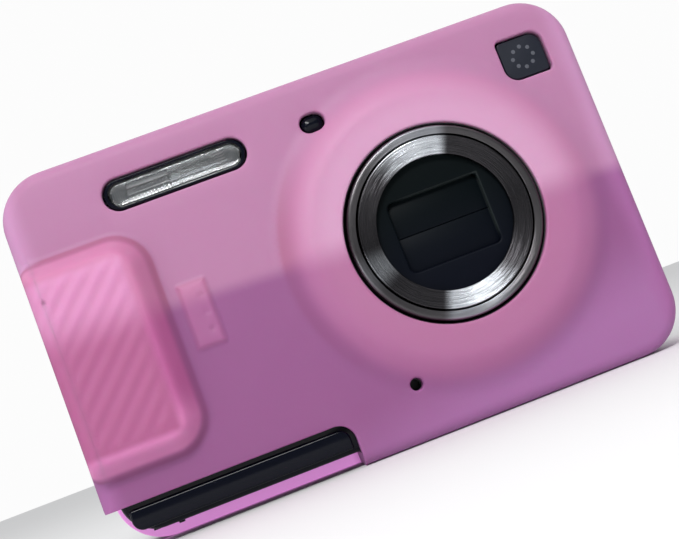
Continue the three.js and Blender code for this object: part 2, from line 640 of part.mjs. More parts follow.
// A rear cap of radius r, with its foot in front of the rear cover.
const REAR_FACE = BODY_BACK + 1;
function rearCap(r, x, z) {
  const cap = frontSlab(circle(r, x, z), BODY_BACK - 2, REAR_FACE, { edge: 0.3, steps: 9 });
  const foot = disc(r + 0.8, BODY_BACK - COVER_WALL - 1, BODY_BACK - COVER_WALL - FIT, x, z, 24);
  return union(cap, foot);
}
for (const { name, x, z, r, look } of REAR_BUTTONS) add(name, rearCap(r, x, z), look);

// The four-way ring tilts on a soft pivot ring, and the set button passes through both.
const PIVOT = { y0: 11.3, y1: 11.7 };
add("four_way_pivot", tube(4.7, 7.4, PIVOT.y0, PIVOT.y1, RING.x, RING.z, 20), BLACK_MATT);
const ringCap = turned(
  [
    [RING.hole, PIVOT.y1 + 0.35],
    [RING.hub, PIVOT.y1 + 0.35],
    [RING.hub, BODY_BACK + 0.6],
    [RING.r, BODY_BACK + 0.6],
    [RING.r, BODY_BACK + 1.2],
    [RING.r - 0.5, BODY_BACK + 1.7],
    [RING.hole + 0.4, BODY_BACK + 1.4],
    [RING.hole, BODY_BACK + 1.1],
    [RING.hole, PIVOT.y1 + 0.35],
  ],
  RING.x,
  RING.z,
  28,
);
add("four_way_ring", ringCap, GREY_PLASTIC);
const setShape = circle(RING.set, RING.x, RING.z);
const setCap = frontSlab(setShape, PIVOT.y0 - 0.2, BODY_BACK + 1.3, { edge: 0.3, steps: 10 });
add("set_button", setCap, GREY_PLASTIC);

const rocker = union(
  frontSlab(
    rounded(ROCKER.w, ROCKER.h, 2.4, ROCKER.x, ROCKER.z),
    BODY_BACK + 0.7,
    BODY_BACK + 1.9,
    { edge: 0.4 },
  ),
  disc(ROCKER.hub, BODY_BACK - 1.8, BODY_BACK + 1, ROCKER.x, ROCKER.z, 24),
);
add("zoom_rocker", rocker, GREY_PLASTIC);

// ---- Battery door, its pin and its latch ----
const DOOR_T = 1.1;
const KNUCKLE_R = 1.25;
const PIN_R = 0.55;
const doorMid = (DOOR.y0 + DOOR.y1) / 2;
const LATCH = { x0: -40.4, x1: -35.2, y0: -4.6, y1: 0.7, stem0: -38.4, stem1: -37.2 };
const LATCH_TRAVEL = 1.6;
function door() {
  const plate = box(DOOR.x0, DOOR.x1, DOOR.y0, DOOR.y1, BODY_BOTTOM, BODY_BOTTOM + DOOR_T);
  const knuckle = disc(KNUCKLE_R, DOOR.y0 + 1.2, DOOR.y1 - 1.2, DOOR.x1, DOOR.pinZ, 24);
  const bore = disc(PIN_R + 0.25, DOOR.y0 - 1, DOOR.y1 + 1, DOOR.x1, DOOR.pinZ, 24);
  const clear = disc(KNUCKLE_R + 0.1, DOOR.y0 - 1, DOOR.y0 + 1.2, DOOR.x1, DOOR.pinZ, 24);
  const clearRear = disc(KNUCKLE_R + 0.1, DOOR.y1 - 1.2, DOOR.y1 + 1, DOOR.x1, DOOR.pinZ, 24);
  const { x0, x1, y0, y1 } = LATCH;
  const reach = x1 + FIT + LATCH_TRAVEL;
  const latchSlot = box(x0 - FIT, reach, y0 - FIT, y1 + FIT, BODY_BOTTOM - 1, BODY_BOTTOM + 0.6);
  const stemEnd = LATCH.stem1 + 0.5 + LATCH_TRAVEL;
  const stemTop = BODY_BOTTOM + 3;
  const stemSlot = box(LATCH.stem0 - 0.5, stemEnd, doorMid - 1.1, doorMid + 1.1, BODY_BOTTOM, stemTop);
  return cut(union(plate, knuckle), bore, clear, clearRear, latchSlot, stemSlot);
}
add("battery_door", door(), BLACK_GLOSS);
add("door_hinge_pin", disc(PIN_R, DOOR.y0 + 0.1, DOOR.y1 - 0.1, DOOR.x1, DOOR.pinZ, 16), STEEL);

// The latch is a slider let into the door, with a finger rib, a stem through the door and a catch plate.
function latch() {
  const { x0, x1, y0, y1, stem0, stem1 } = LATCH;
  const slider = box(x0, x1, y0, y1, BODY_BOTTOM - 0.15, BODY_BOTTOM + 0.3);
  const rib = rod(0.5, stem0 + 0.1, stem1 - 0.1, doorMid, BODY_BOTTOM - 0.1, 12);
  const stem = box(stem0, stem1, doorMid - 0.7, doorMid + 0.7, BODY_BOTTOM, BODY_BOTTOM + DOOR_T + 0.5);
  const plateZ = BODY_BOTTOM + DOOR_T + FIT;
  const catchPlate = box(-41.2, -36.4, doorMid - 2, doorMid + 2, plateZ, plateZ + 0.5);
  return union(slider, rib, stem, catchPlate);
}
add("door_latch", latch(), GREY_PLASTIC);

// ---- Side: port cover, socket and strap lug ----
const FLAP_T = 1;
const portMidZ = (PORT.z0 + PORT.z1) / 2;
function portCover() {
  const { y0, y1, z0, z1 } = PORT;
  const flap = box(BODY_SIDE - FLAP_T, BODY_SIDE, y0, y1, z0, z1);
  const barrel = post(0.7, z0 + 0.4, z1 - 0.4, BODY_SIDE - 0.7, y1, 20);
  return union(flap, barrel);
}
add("port_cover", portCover(), GREY_PLASTIC);
const socket = cut(
  box(36.6, BODY_SIDE - FLAP_T - 0.4, -0.4, 3.6, portMidZ - 4, portMidZ + 4),
  box(38.5, BODY_SIDE, 0.1, 3.1, portMidZ - 3.5, portMidZ + 3.5),
);
add("port_socket", socket, STEEL);

function strapLug() {
  const { y, z } = LUG;
  const foot = box(42.2, BODY_SIDE - COVER_WALL - FIT, y - 1.6, y + 1.6, z - 4.2, z + 4.2);
  const bail = box(43, BODY_SIDE + 1.9, y - 0.9, y + 0.9, z - 2.9, z + 2.9);
  const eye = box(BODY_SIDE + 0.1, BODY_SIDE + 1, y - 2, y + 2, z - 1.8, z + 1.8);
  return cut(union(foot, bail), eye);
}
add("strap_lug", strapLug(), STEEL);

// ---- Base: tripod nut and case screws ----
const nut = cut(
  post(TRIPOD.r, BODY_BOTTOM + 0.1, 9, TRIPOD.x, TRIPOD.y, 20),
  post(TRIPOD.bore, 0, 7.6, TRIPOD.x, TRIPOD.y, 20),
);
add("tripod_nut", nut, BRASS);
SCREWS.at.forEach((x, i) => {
  const { y, headR, shankR } = SCREWS;
  const head = post(headR, BODY_BOTTOM + 0.1, BODY_BOTTOM + 0.5, x, y, 12);
  const shank = post(shankR, BODY_BOTTOM + 0.3, BODY_BOTTOM + 4.6, x, y, 8);
  const driver = union(
    box(x - 1, x + 1, y - 0.2, y + 0.2, 0, BODY_BOTTOM + 0.3),
    box(x - 0.2, x + 0.2, y - 1, y + 1, 0, BODY_BOTTOM + 0.3),
  );
  add("case_screw_" + (i + 1), cut(union(head, shank), driver), STEEL);
});

export default camera;
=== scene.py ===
"""A compact zoom camera in a silicone sleeve: the finished surfaces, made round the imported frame."""

import math

import bmesh
import bpy
from bpy.props import FloatProperty, FloatVectorProperty, IntProperty, PointerProperty
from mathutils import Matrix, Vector, geometry


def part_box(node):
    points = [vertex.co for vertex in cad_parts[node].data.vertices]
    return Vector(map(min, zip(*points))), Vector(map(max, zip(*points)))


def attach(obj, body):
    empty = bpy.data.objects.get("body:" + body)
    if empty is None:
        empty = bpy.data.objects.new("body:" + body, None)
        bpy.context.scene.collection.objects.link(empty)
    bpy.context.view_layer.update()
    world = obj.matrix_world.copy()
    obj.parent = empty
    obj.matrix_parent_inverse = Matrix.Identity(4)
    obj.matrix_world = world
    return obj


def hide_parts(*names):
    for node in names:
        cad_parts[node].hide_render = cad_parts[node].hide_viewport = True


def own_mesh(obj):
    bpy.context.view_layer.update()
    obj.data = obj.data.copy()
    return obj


bl_info = {
    "name": "Sleeved Compact Camera",
    "version": (1, 0, 0),
    "blender": (4, 5, 0),
    "location": "View3D > Sidebar > Camera",
    "description": "Builds a compact zoom camera in a soft silicone sleeve",
    "category": "Add Mesh",
}

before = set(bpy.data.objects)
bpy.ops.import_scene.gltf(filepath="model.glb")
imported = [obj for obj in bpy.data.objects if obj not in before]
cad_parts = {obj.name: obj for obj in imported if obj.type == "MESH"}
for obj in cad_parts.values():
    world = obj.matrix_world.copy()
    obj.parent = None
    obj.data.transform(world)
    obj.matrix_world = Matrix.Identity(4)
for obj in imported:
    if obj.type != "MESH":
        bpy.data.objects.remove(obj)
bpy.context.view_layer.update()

MM = 0.001
QUARTER = math.pi / 2
ROOT = "camera_body"


# ---------------------------------------------------------------- places from the frame
class Span:
    """A node's box in millimetres."""

    def __init__(self, node):
        low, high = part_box(node)
        self.lo = low / MM
        self.hi = high / MM
        self.mid = (self.lo + self.hi) / 2
        self.size = self.hi - self.lo


SLEEVE = Span("silicone_sleeve")
CASE_FRONT = Span("front_cover")
CASE_REAR = Span("rear_cover")
BARREL = Span("outer_barrel")
BEZEL = Span("flash_bezel")
LAMP = Span("af_lamp_lens")
BADGE = Span("badge_plate")
MIC = Span("microphone")
SCREEN = Span("lcd_window")
SHUTTER = Span("shutter_button")
POWER = Span("power_button")
LUG = Span("strap_lug")
NUT = Span("tripod_nut")
TRIM = Span("lower_trim")
DOOR = Span("battery_door")

GAP = 0.3
SLEEVE_WALL = 2.0
SLEEVE_CORNER = 8.0
GRIP_RISE = 4.8
SHEET = SLEEVE.lo.y + GRIP_RISE  # the plane of the sleeve's front sheet
BACK = SLEEVE.hi.y
TOP = SLEEVE.hi.z
SIDE = SLEEVE.hi.x
MID_Z = TOP / 2
CASE_CORNER = SLEEVE_CORNER - SLEEVE_WALL - GAP
LENS = (BARREL.mid.x, BARREL.mid.z)


# ---------------------------------------------------------------- outlines and meshes
class Outline:
    """A rounded rectangle that can be grown or shrunk and keeps its number of points."""

    def __init__(self, width, height, radius, across=0.0, up=0.0, arc=8, spacing=None):
        self.width, self.height = width, height
        self.radii = radius if isinstance(radius, tuple) else (radius,) * 4
        self.across, self.up, self.arc = across, up, arc
        self.spacing = spacing

    def grown(self, by=0.0):
        """The points, anticlockwise from the lower left corner's end, moved outwards by a distance."""
        w, h = self.width / 2 + by, self.height / 2 + by
        corners = ((-w, -h, 2), (w, -h, 3), (w, h, 0), (-w, h, 1))
        points, flats = [], (self.width, self.height, self.width, self.height)
        for i, (x, y, quarter) in enumerate(corners):
            base = self.radii[i]
            r = min(max(base + by, 0.02), w, h)
            cx, cy = x - math.copysign(r, x), y - math.copysign(r, y)
            for k in range(self.arc + 1):
                a = (quarter + k / self.arc) * QUARTER
                points.append((cx + r * math.cos(a), cy + r * math.sin(a)))
            if self.spacing:
                nx, ny, _ = corners[(i + 1) % 4]
                r2 = min(max(self.radii[(i + 1) % 4] + by, 0.02), w, h)
                end = (nx - math.copysign(r2, nx), ny) if i % 2 == 0 else (nx, ny - math.copysign(r2, ny))
                length = flats[i] - base - self.radii[(i + 1) % 4]
                parts = max(1, round(length / self.spacing))
                start = points[-1]
                for k in range(1, parts):
                    t = k / parts
                    points.append((start[0] + (end[0] - start[0]) * t, start[1] + (end[1] - start[1]) * t))
        return [(self.across + x, self.up + y) for x, y in points]

    def inside(self, x, y, by=0.0):
        """Whether a point is within the outline grown by a distance."""
        return self.depth(x, y) > -by

    def depth(self, x, y):
        """How far a point is inside the outline, negative outside."""
        r = self.radii[0]
        dx = abs(x - self.across) - self.width / 2 + r
        dy = abs(y - self.up) - self.height / 2 + r
        return r - math.hypot(max(dx, 0), max(dy, 0)) - min(max(dx, dy), 0)

    def mask(self, recipe, x, z, blend):
        """Shader maths: 1 well inside the outline's box, 0 outside it."""

        def along(at, middle, size):
            return recipe.between(recipe.maths("ABSOLUTE", at - middle), size / 2, size / 2 - blend)

        return along(x, self.across, self.width) * along(z, self.up, self.height)


def circle(radius, across=0.0, up=0.0, arc=12):
    return Outline(2 * radius, 2 * radius, radius, across, up, arc)


def stadium(width, height, across=0.0, up=0.0, arc=12):
    return Outline(width, height, height / 2, across, up, arc)


def around(centre, radius, steps, turn=0.0):
    """Points evenly round a circle, which starts a part of a step further on."""
    angles = [2 * math.pi * (k + turn) / steps for k in range(steps)]
    return [(centre[0] + radius * math.cos(a), centre[1] + radius * math.sin(a)) for a in angles]


def spread(low, high, step):
    """Numbers from low to high about a step apart."""
    count = max(1, round((high - low) / step))
    return [low + (high - low) * i / count for i in range(count + 1)]


def smooth(t):
    t = min(1.0, max(0.0, t))
    return t * t * (3 - 2 * t)


def quarter_round(radius, steps):
    """(how far in, how far down) of points on a rounded edge, from the face to the wall."""
    return [
        (radius * (1 - math.sin(t * QUARTER / steps)), radius * (1 - math.cos(t * QUARTER / steps)))
        for t in range(steps + 1)
    ]


def facing_front(u, v, w):
    return (u, w, v)


def facing_up(u, v, w):
    return (u, v, w)


def facing_side(u, v, w):
    return (w, u, v)


class Surface:
    """The corners and faces of one piece, drawn on a plane (u, v) with w across it, in millimetres."""

    def __init__(self):
        self.points = []
        self.faces = []

    def loop(self, outline, w):
        start = len(self.points)
        level = w if callable(w) else lambda u, v: w
        self.points += [(u, v, level(u, v)) for u, v in outline]
        return list(range(start, len(self.points)))

    def bridge(self, a, b):
        for i in range(len(a)):
            j = (i + 1) % len(a)
            self.faces.append((a[i], a[j], b[j], b[i]))

    def bridge_all(self, loops):
        for a, b in zip(loops, loops[1:]):
            self.bridge(a, b)

    def cap(self, outer, holes=(), inner=(), level=None):
        """Fills the plane inside one loop and outside the others, through some inner points."""
        rim = list(outer)
        for hole in holes:
            rim += hole
        index = list(rim)
        flat = [Vector(self.points[i][:2]) for i in rim]
        for u, v in inner:
            index.append(len(self.points))
            self.points.append((u, v, level(u, v)))
            flat.append(Vector((u, v)))
        edges = []
        start = 0
        for ring in (outer, *holes):
            n = len(ring)
            edges += [(start + i, start + (i + 1) % n) for i in range(n)]
            start += n
        made = geometry.delaunay_2d_cdt(flat, edges, [], 1, 1e-7, True)
        source = [index[ids[0]] for ids in made[3]]
        loops = [[self.points[i][:2] for i in hole] for hole in holes]
        for face in made[2]:
            corners = [source[i] for i in face]
            centre = sum((Vector(self.points[i][:2]) for i in corners), Vector((0, 0))) / len(corners)
            if not any(within(centre.x, centre.y, loop) for loop in loops):
                self.faces.append(tuple(corners))

    def piece(self, name, place=facing_front):
        mesh = bpy.data.meshes.new(name)
        mesh.from_pydata([tuple(c * MM for c in place(*p)) for p in self.points], [], self.faces)
        return tidy(linked(name, mesh))


def within(x, y, loop):
    """Whether a point is inside a closed loop of points."""
    if not min(p[0] for p in loop) < x < max(p[0] for p in loop):
        return False
    inside = False
    for (x0, y0), (x1, y1) in zip(loop, loop[1:] + loop[:1]):
        if (y0 > y) != (y1 > y) and x < (x1 - x0) * (y - y0) / (y1 - y0) + x0:
            inside = not inside
    return inside


def linked(name, data):
    """A new object of some data, in the scene."""
    obj = bpy.data.objects.new(name, data)
    bpy.context.scene.collection.objects.link(obj)
    return obj


def tidy(obj, angle=32):
    """Merges its doubled corners and turns its faces outwards."""
    shape = bmesh.new()
    shape.from_mesh(obj.data)
    bmesh.ops.remove_doubles(shape, verts=shape.verts, dist=1e-6)
    bmesh.ops.dissolve_degenerate(shape, edges=shape.edges, dist=1e-7)
    bmesh.ops.recalc_face_normals(shape, faces=shape.faces)
    shape.to_mesh(obj.data)
    shape.free()
    obj.data.shade_smooth()
    obj.data.set_sharp_from_angle(angle=math.radians(angle))
    return obj


def settle(obj, angle=32):
    """Turns an object's modifiers into a plain mesh."""
    graph = bpy.context.evaluated_depsgraph_get()
    made = bpy.data.meshes.new_from_object(obj.evaluated_get(graph))
    obj.modifiers.clear()
    obj.data = made
    return tidy(obj, angle)


def cut_out(obj, *cutters, angle=32):
    """Takes the cutters' shapes out of an object."""
    joined = join("cutter", cutters)
    modifier = obj.modifiers.new("cut", "BOOLEAN")
    modifier.operation = "DIFFERENCE"
    modifier.solver = "EXACT"
    modifier.object = joined
    settle(obj, angle)
    bpy.data.objects.remove(joined)
    return obj


def join(name, parts):
    """Makes one object of several."""
    shape = bmesh.new()
    for part in parts:
        shape.from_mesh(part.data)
    mesh = bpy.data.meshes.new(name)
    shape.to_mesh(mesh)
    shape.free()
    for part in parts:
        bpy.data.objects.remove(part)
    return tidy(linked(name, mesh))


def plate(
    name,
    outline,
    near,
    far,
    edge=0.2,
    holes=(),
    rim=0.15,
    place=facing_front,
    dome=None,
    steps=4,
    far_edge=None,
):
    """A flat piece between two levels, with rounded edges, and holes with rounded rims."""
    made = Surface()
    toward = 1 if far > near else -1
    near_curve = quarter_round(edge, steps)
    far_curve = quarter_round(edge if far_edge is None else far_edge, steps)[::-1]
    rows = [made.loop(outline.grown(-i), near + toward * d) for i, d in near_curve]
    rows += [made.loop(outline.grown(-i), far - toward * d) for i, d in far_curve]
    made.bridge_all(rows)
    near_holes, far_holes = [], []
    curve = quarter_round(rim, steps)
    for hole in holes:
        walls = [made.loop(hole.grown(i), near + toward * d) for i, d in curve]
        walls += [made.loop(hole.grown(i), far - toward * d) for i, d in curve[::-1]]
        made.bridge_all(walls)
        near_holes.append(walls[0])
        far_holes.append(walls[-1])
    if dome:
        inner = []
        for k in range(1, 8):
            inner += outline.grown(-edge - (min(outline.width, outline.height) / 2 - edge) * k / 8)
        made.cap(rows[0], near_holes, inner, lambda u, v: near - toward * dome(u, v))
    else:
        made.cap(rows[0], near_holes)
    made.cap(rows[-1], far_holes)
    return made.piece(name, place)


def softened(points, steps=5):
    """Rounds the corners of a closed profile of (radius, level, corner radius) points."""
    result = []
    n = len(points)
    for i, (r, w, soft) in enumerate(points):
        here = Vector((r, w))
        if soft <= 0:
            result.append((r, w))
            continue
        before = Vector(points[i - 1][:2]) - here
        after = Vector(points[(i + 1) % n][:2]) - here
        reach = min(soft, before.length / 2.01, after.length / 2.01)
        start = here + before.normalized() * reach
        end = here + after.normalized() * reach
        for k in range(steps + 1):
            t = k / steps
            at = start * (1 - t) ** 2 + here * 2 * t * (1 - t) + end * t**2
            result.append((at.x, at.y))
    return result


def turned(name, profile, centre, steps=128, place=facing_front, closed=True):
    """A profile of (radius, level, corner radius) points turned about an axis across the plane."""
    made = Surface()
    loops = []
    for r, w in softened(profile):
        count = 1 if r < 1e-6 else steps
        loops.append(made.loop(around(centre, r, steps)[:count], w))
    pairs = list(zip(loops, loops[1:]))
    if closed:
        pairs.append((loops[-1], loops[0]))
    for a, b in pairs:
        if len(a) == len(b) == 1:
            continue
        if len(a) == len(b):
            made.bridge(a, b)
        else:
            tip, ring = (a[0], b) if len(a) == 1 else (b[0], a)
            made.faces += [(tip, ring[i], ring[(i + 1) % steps]) for i in range(steps)]
    return made.piece(name, place)


def tray(
    outline,
    face,
    end,
    wall,
    edge,
    inner_edge,
    holes=(),
    rim=0.3,
    rise=lambda u, v: 0.0,
    inner=(),
    closed=True,
    steps=6,
    lean=0.0,
):
    """A sheet with a rolled edge and a side wall that ends at a level, with holes in the sheet."""
    made = Surface()
    toward = 1 if end > face else -1

    def level(u, v, depth=0.0):
        return face + toward * (depth - rise(u, v))

    outer = []
    flat, step_in = outline.grown(), outline.grown(-1)
    lift = [rise(u, v) for u, v in outline.grown(-edge)]
    for i, d in quarter_round(edge, steps):
        start = len(made.points)
        for (u0, v0), (u1, v1), h in zip(flat, step_in, lift):
            inset = i + lean * h
            made.points.append((u0 + (u1 - u0) * inset, v0 + (v1 - v0) * inset, face + toward * (d - h)))
        outer.append(list(range(start, len(made.points))))
    outer.append(made.loop(outline.grown(), end))
    made.bridge_all(outer)
    floor = face + toward * wall
    curve = quarter_round(inner_edge, 3)
    inside = [made.loop(outline.grown(-wall - i), floor + toward * d) for i, d in curve]
    inside.append(made.loop(outline.grown(-wall), end))
    made.bridge_all(inside)
    if closed:
        made.bridge(outer[-1], inside[-1])
    near, far = [], []
    for hole in holes:
        rows = [made.loop(hole.grown(i), lambda u, v, d=d: level(u, v, d)) for i, d in quarter_round(rim, 4)]
        rows.append(made.loop(hole.grown(), floor))
        made.bridge_all(rows)
        near.append(rows[0])
        far.append(rows[-1])
    made.cap(outer[0], near, inner, level)
    made.cap(inside[0], far)
    return made


# ---------------------------------------------------------------- repeats made with Geometry Nodes
def input_values(tree, modifier, values):
    """Sets a modifier's inputs by the names of its tree's sockets."""
    for item in tree.interface.items_tree:
        if item.in_out == "INPUT" and item.name in values:
            modifier[item.identifier] = values[item.name]


def new_tree(name, **inputs):
    """A tree that takes an item, its finish and named inputs, and the node that holds them."""
    tree = bpy.data.node_groups.new(name, "GeometryNodeTree")
    tree.interface.new_socket("Item", in_out="INPUT", socket_type="NodeSocketGeometry")
    for label, kind in inputs.items():
        tree.interface.new_socket(label, in_out="INPUT", socket_type="NodeSocket" + kind)
    tree.interface.new_socket("Finish", in_out="INPUT", socket_type="NodeSocketMaterial")
    tree.interface.new_socket("Result", in_out="OUTPUT", socket_type="NodeSocketGeometry")
    return tree, tree.nodes.new("NodeGroupInput")


def close_tree(tree, source, instances):
    """Ends a tree by making its instances real and giving them their finish."""
    realize = tree.nodes.new("GeometryNodeRealizeInstances")
    finish = tree.nodes.new("GeometryNodeSetMaterial")
    output = tree.nodes.new("NodeGroupOutput")
    tree.links.new(instances, realize.inputs[0])
    tree.links.new(realize.outputs[0], finish.inputs["Geometry"])
    tree.links.new(source.outputs["Finish"], finish.inputs["Material"])
    tree.links.new(finish.outputs[0], output.inputs[0])


def grid_tree():
    """Copies an item over a grid that lies across the front."""
    lengths = {"Width": "Float", "Height": "Float"}
    places = {"Centre": "Vector", "Turn": "Vector"}
    tree, source = new_tree("copies_on_a_grid", Columns="Int", Rows="Int", **lengths, **places)
    grid = tree.nodes.new("GeometryNodeMeshGrid")
    move = tree.nodes.new("GeometryNodeTransform")
    copies = tree.nodes.new("GeometryNodeInstanceOnPoints")
    for label, socket in (("Columns", 2), ("Rows", 3), ("Width", 0), ("Height", 1)):
        tree.links.new(source.outputs[label], grid.inputs[socket])
    tree.links.new(grid.outputs[0], move.inputs["Geometry"])
    tree.links.new(source.outputs["Centre"], move.inputs["Translation"])
    tree.links.new(source.outputs["Turn"], move.inputs["Rotation"])
    tree.links.new(move.outputs[0], copies.inputs["Points"])
    tree.links.new(source.outputs["Item"], copies.inputs["Instance"])
    close_tree(tree, source, copies.outputs[0])
    return tree


def circle_tree():
    """Copies an item round a circle, each copy turned with its place."""
    places = {"Centre": "Vector", "Turn": "Vector"}
    tree, source = new_tree("copies_round_a_circle", Copies="Int", Radius="Float", **places)
    ring = tree.nodes.new("GeometryNodeMeshCircle")
    copies = tree.nodes.new("GeometryNodeInstanceOnPoints")
    index = tree.nodes.new("GeometryNodeInputIndex")
    share = tree.nodes.new("ShaderNodeMath")
    share.operation = "DIVIDE"
    turn = tree.nodes.new("ShaderNodeMath")
    turn.operation = "MULTIPLY"
    turn.inputs[1].default_value = 2 * math.pi
    angles = tree.nodes.new("ShaderNodeCombineXYZ")
    move = tree.nodes.new("GeometryNodeTransform")
    tree.links.new(source.outputs["Copies"], ring.inputs["Vertices"])
    tree.links.new(source.outputs["Radius"], ring.inputs["Radius"])
    tree.links.new(index.outputs[0], share.inputs[0])
    tree.links.new(source.outputs["Copies"], share.inputs[1])
    tree.links.new(share.outputs[0], turn.inputs[0])
    tree.links.new(turn.outputs[0], angles.inputs["Z"])
    tree.links.new(ring.outputs[0], copies.inputs["Points"])
    tree.links.new(source.outputs["Item"], copies.inputs["Instance"])
    tree.links.new(angles.outputs[0], copies.inputs["Rotation"])
    tree.links.new(copies.outputs[0], move.inputs["Geometry"])
    tree.links.new(source.outputs["Centre"], move.inputs["Translation"])
    tree.links.new(source.outputs["Turn"], move.inputs["Rotation"])
    close_tree(tree, source, move.outputs[0])
    return tree


def repeated(item, tree, look, centre, turn=QUARTER, **values):
    """Gives an item its copies and makes them one plain mesh. A centre and any float are in millimetres."""
    modifier = item.modifiers.new("copies", "NODES")
    modifier.node_group = tree
    lengths = {key: value * MM for key, value in values.items() if isinstance(value, float)}
    place = {"Centre": [c * MM for c in centre], "Turn": (turn, 0.0, 0.0)}
    input_values(tree, modifier, {**values, **lengths, **place, "Finish": finish(look)})
    return settle(item)


# ---------------------------------------------------------------- shader maths
class Value:
    """A shader socket that can be used in sums."""

    def __init__(self, recipe, socket):
        self.recipe, self.socket = recipe, socket

    def _with(self, operation, other, swapped=False):
        pair = (other, self) if swapped else (self, other)
        return self.recipe.maths(operation, *pair)

    def __add__(self, other):
        return self._with("ADD", other)

    __radd__ = __add__

    def __sub__(self, other):
        return self._with("SUBTRACT", other)

    def __rsub__(self, other):
        return self._with("SUBTRACT", other, True)

    def __mul__(self, other):
        return self._with("MULTIPLY", other)

    __rmul__ = __mul__

    def __truediv__(self, other):
        return self._with("DIVIDE", other)


class Recipe:
    """One material: a Principled shader and the nodes that feed it."""

    def __init__(self, name, **sockets):
        self.material = bpy.data.materials.new(name)
        self.material.use_nodes = True
        self.tree = self.material.node_tree
        self.shader = self.tree.nodes["Principled BSDF"]
        for socket, value in sockets.items():
            self.set(socket.replace("_", " "), value)

    def feed(self, target, value):
        """Links a value to a socket, or sets the socket to a number or a colour."""
        if isinstance(value, Value):
            self.tree.links.new(value.socket, target)
        else:
            target.default_value = value

    def set(self, socket, value):
        self.feed(self.shader.inputs[socket], value)

    def node(self, kind, settings=None, sockets=None, output=0):
        """A node of a type, with its settings made first, then its sockets, as one of its outputs."""
        made = self.tree.nodes.new(kind)
        for key, value in (settings or {}).items():
            setattr(made, key, value)
        for key, value in (sockets or {}).items():
            self.feed(made.inputs[key], value)
        return Value(self, made.outputs[output])

    def maths(self, operation, *terms):
        return self.node("ShaderNodeMath", {"operation": operation}, dict(enumerate(terms)))

    def place(self):
        return self.node("ShaderNodeTexCoord", output="Object")

    def axes(self):
        """The place on the object in millimetres, as three values."""
        source = self.place()
        return [self.node("ShaderNodeSeparateXYZ", None, {0: source}, k) * (1 / MM) for k in range(3)]

    def noise(self, size, detail=3.0, roughness=0.5, place=None, distortion=0.0):
        """Smooth noise whose patches are about a size in millimetres across."""
        sockets = {
            "Vector": place or self.place(),
            "Scale": 1 / (size * MM),
            "Detail": detail,
            "Roughness": roughness,
            "Distortion": distortion,
        }
        return self.node("ShaderNodeTexNoise", None, sockets)

    def from_lens(self, x, z):
        """How far a place is right of the lens axis, above it, and from it."""
        dx, dz = x - LENS[0], z - LENS[1]
        return dx, dz, self.maths("SQRT", dx * dx + dz * dz)

    def between(self, value, low, high):
        """Rises smoothly from 0 at low to 1 at high."""
        sockets = {"Value": value, "From Min": low, "From Max": high}
        return self.node("ShaderNodeMapRange", {"interpolation_type": "SMOOTHSTEP"}, sockets)

    def mix(self, factor, a, b):
        """A colour between two."""
        return self.node("ShaderNodeMix", {"data_type": "RGBA"}, {0: factor, 6: a, 7: b}, 2)

    def bump(self, height, depth):
        """Raises the surface by up to a depth in millimetres."""
        sockets = {"Height": height, "Distance": depth * MM, "Strength": 1.0}
        self.set("Normal", self.node("ShaderNodeBump", None, sockets))


def rgb(*values):
    return (*values, 1.0)


# ---------------------------------------------------------------- finishes
GRIP_EDGE = -27.5
GRIP_WIDTH = 40.1
GRIP = Outline(GRIP_WIDTH, 36.0, 6.2, GRIP_EDGE - GRIP_WIDTH / 2, 29.3, arc=10, spacing=0.8)
PANEL = Outline(22.0, 29.3, 3.2, -42.1, 29.35, arc=6, spacing=0.6)
TAB = Outline(5.7, 11.6, 0.9, -23.35, 30.9, arc=5, spacing=0.5)
WINDOW = Outline(15.2, 11.6, 1.0, *LENS, arc=6)
WINDOW_RIM = Outline(15.8, 12.2, 1.4, *LENS)
DIMPLES = [(-22.4, TAB.up + k * 2.7) for k in (-1, 0, 1)]
RIDGE_PITCH = 2.31
RIDGE_ANGLE = math.radians(45.5)


def ridge_phase(x, z):
    """How many ridges a place is up the grip, for numbers and for shader values."""
    across = (z - PANEL.up) * math.cos(RIDGE_ANGLE) - (x - PANEL.across) * math.sin(RIDGE_ANGLE)
    return across * (1 / RIDGE_PITCH)


FINISHES = {}


def finish(name):
    """The material of a record slot, made once by its own recipe."""
    if name not in FINISHES:
        FINISHES[name] = RECIPES[name]()
    return FINISHES[name]


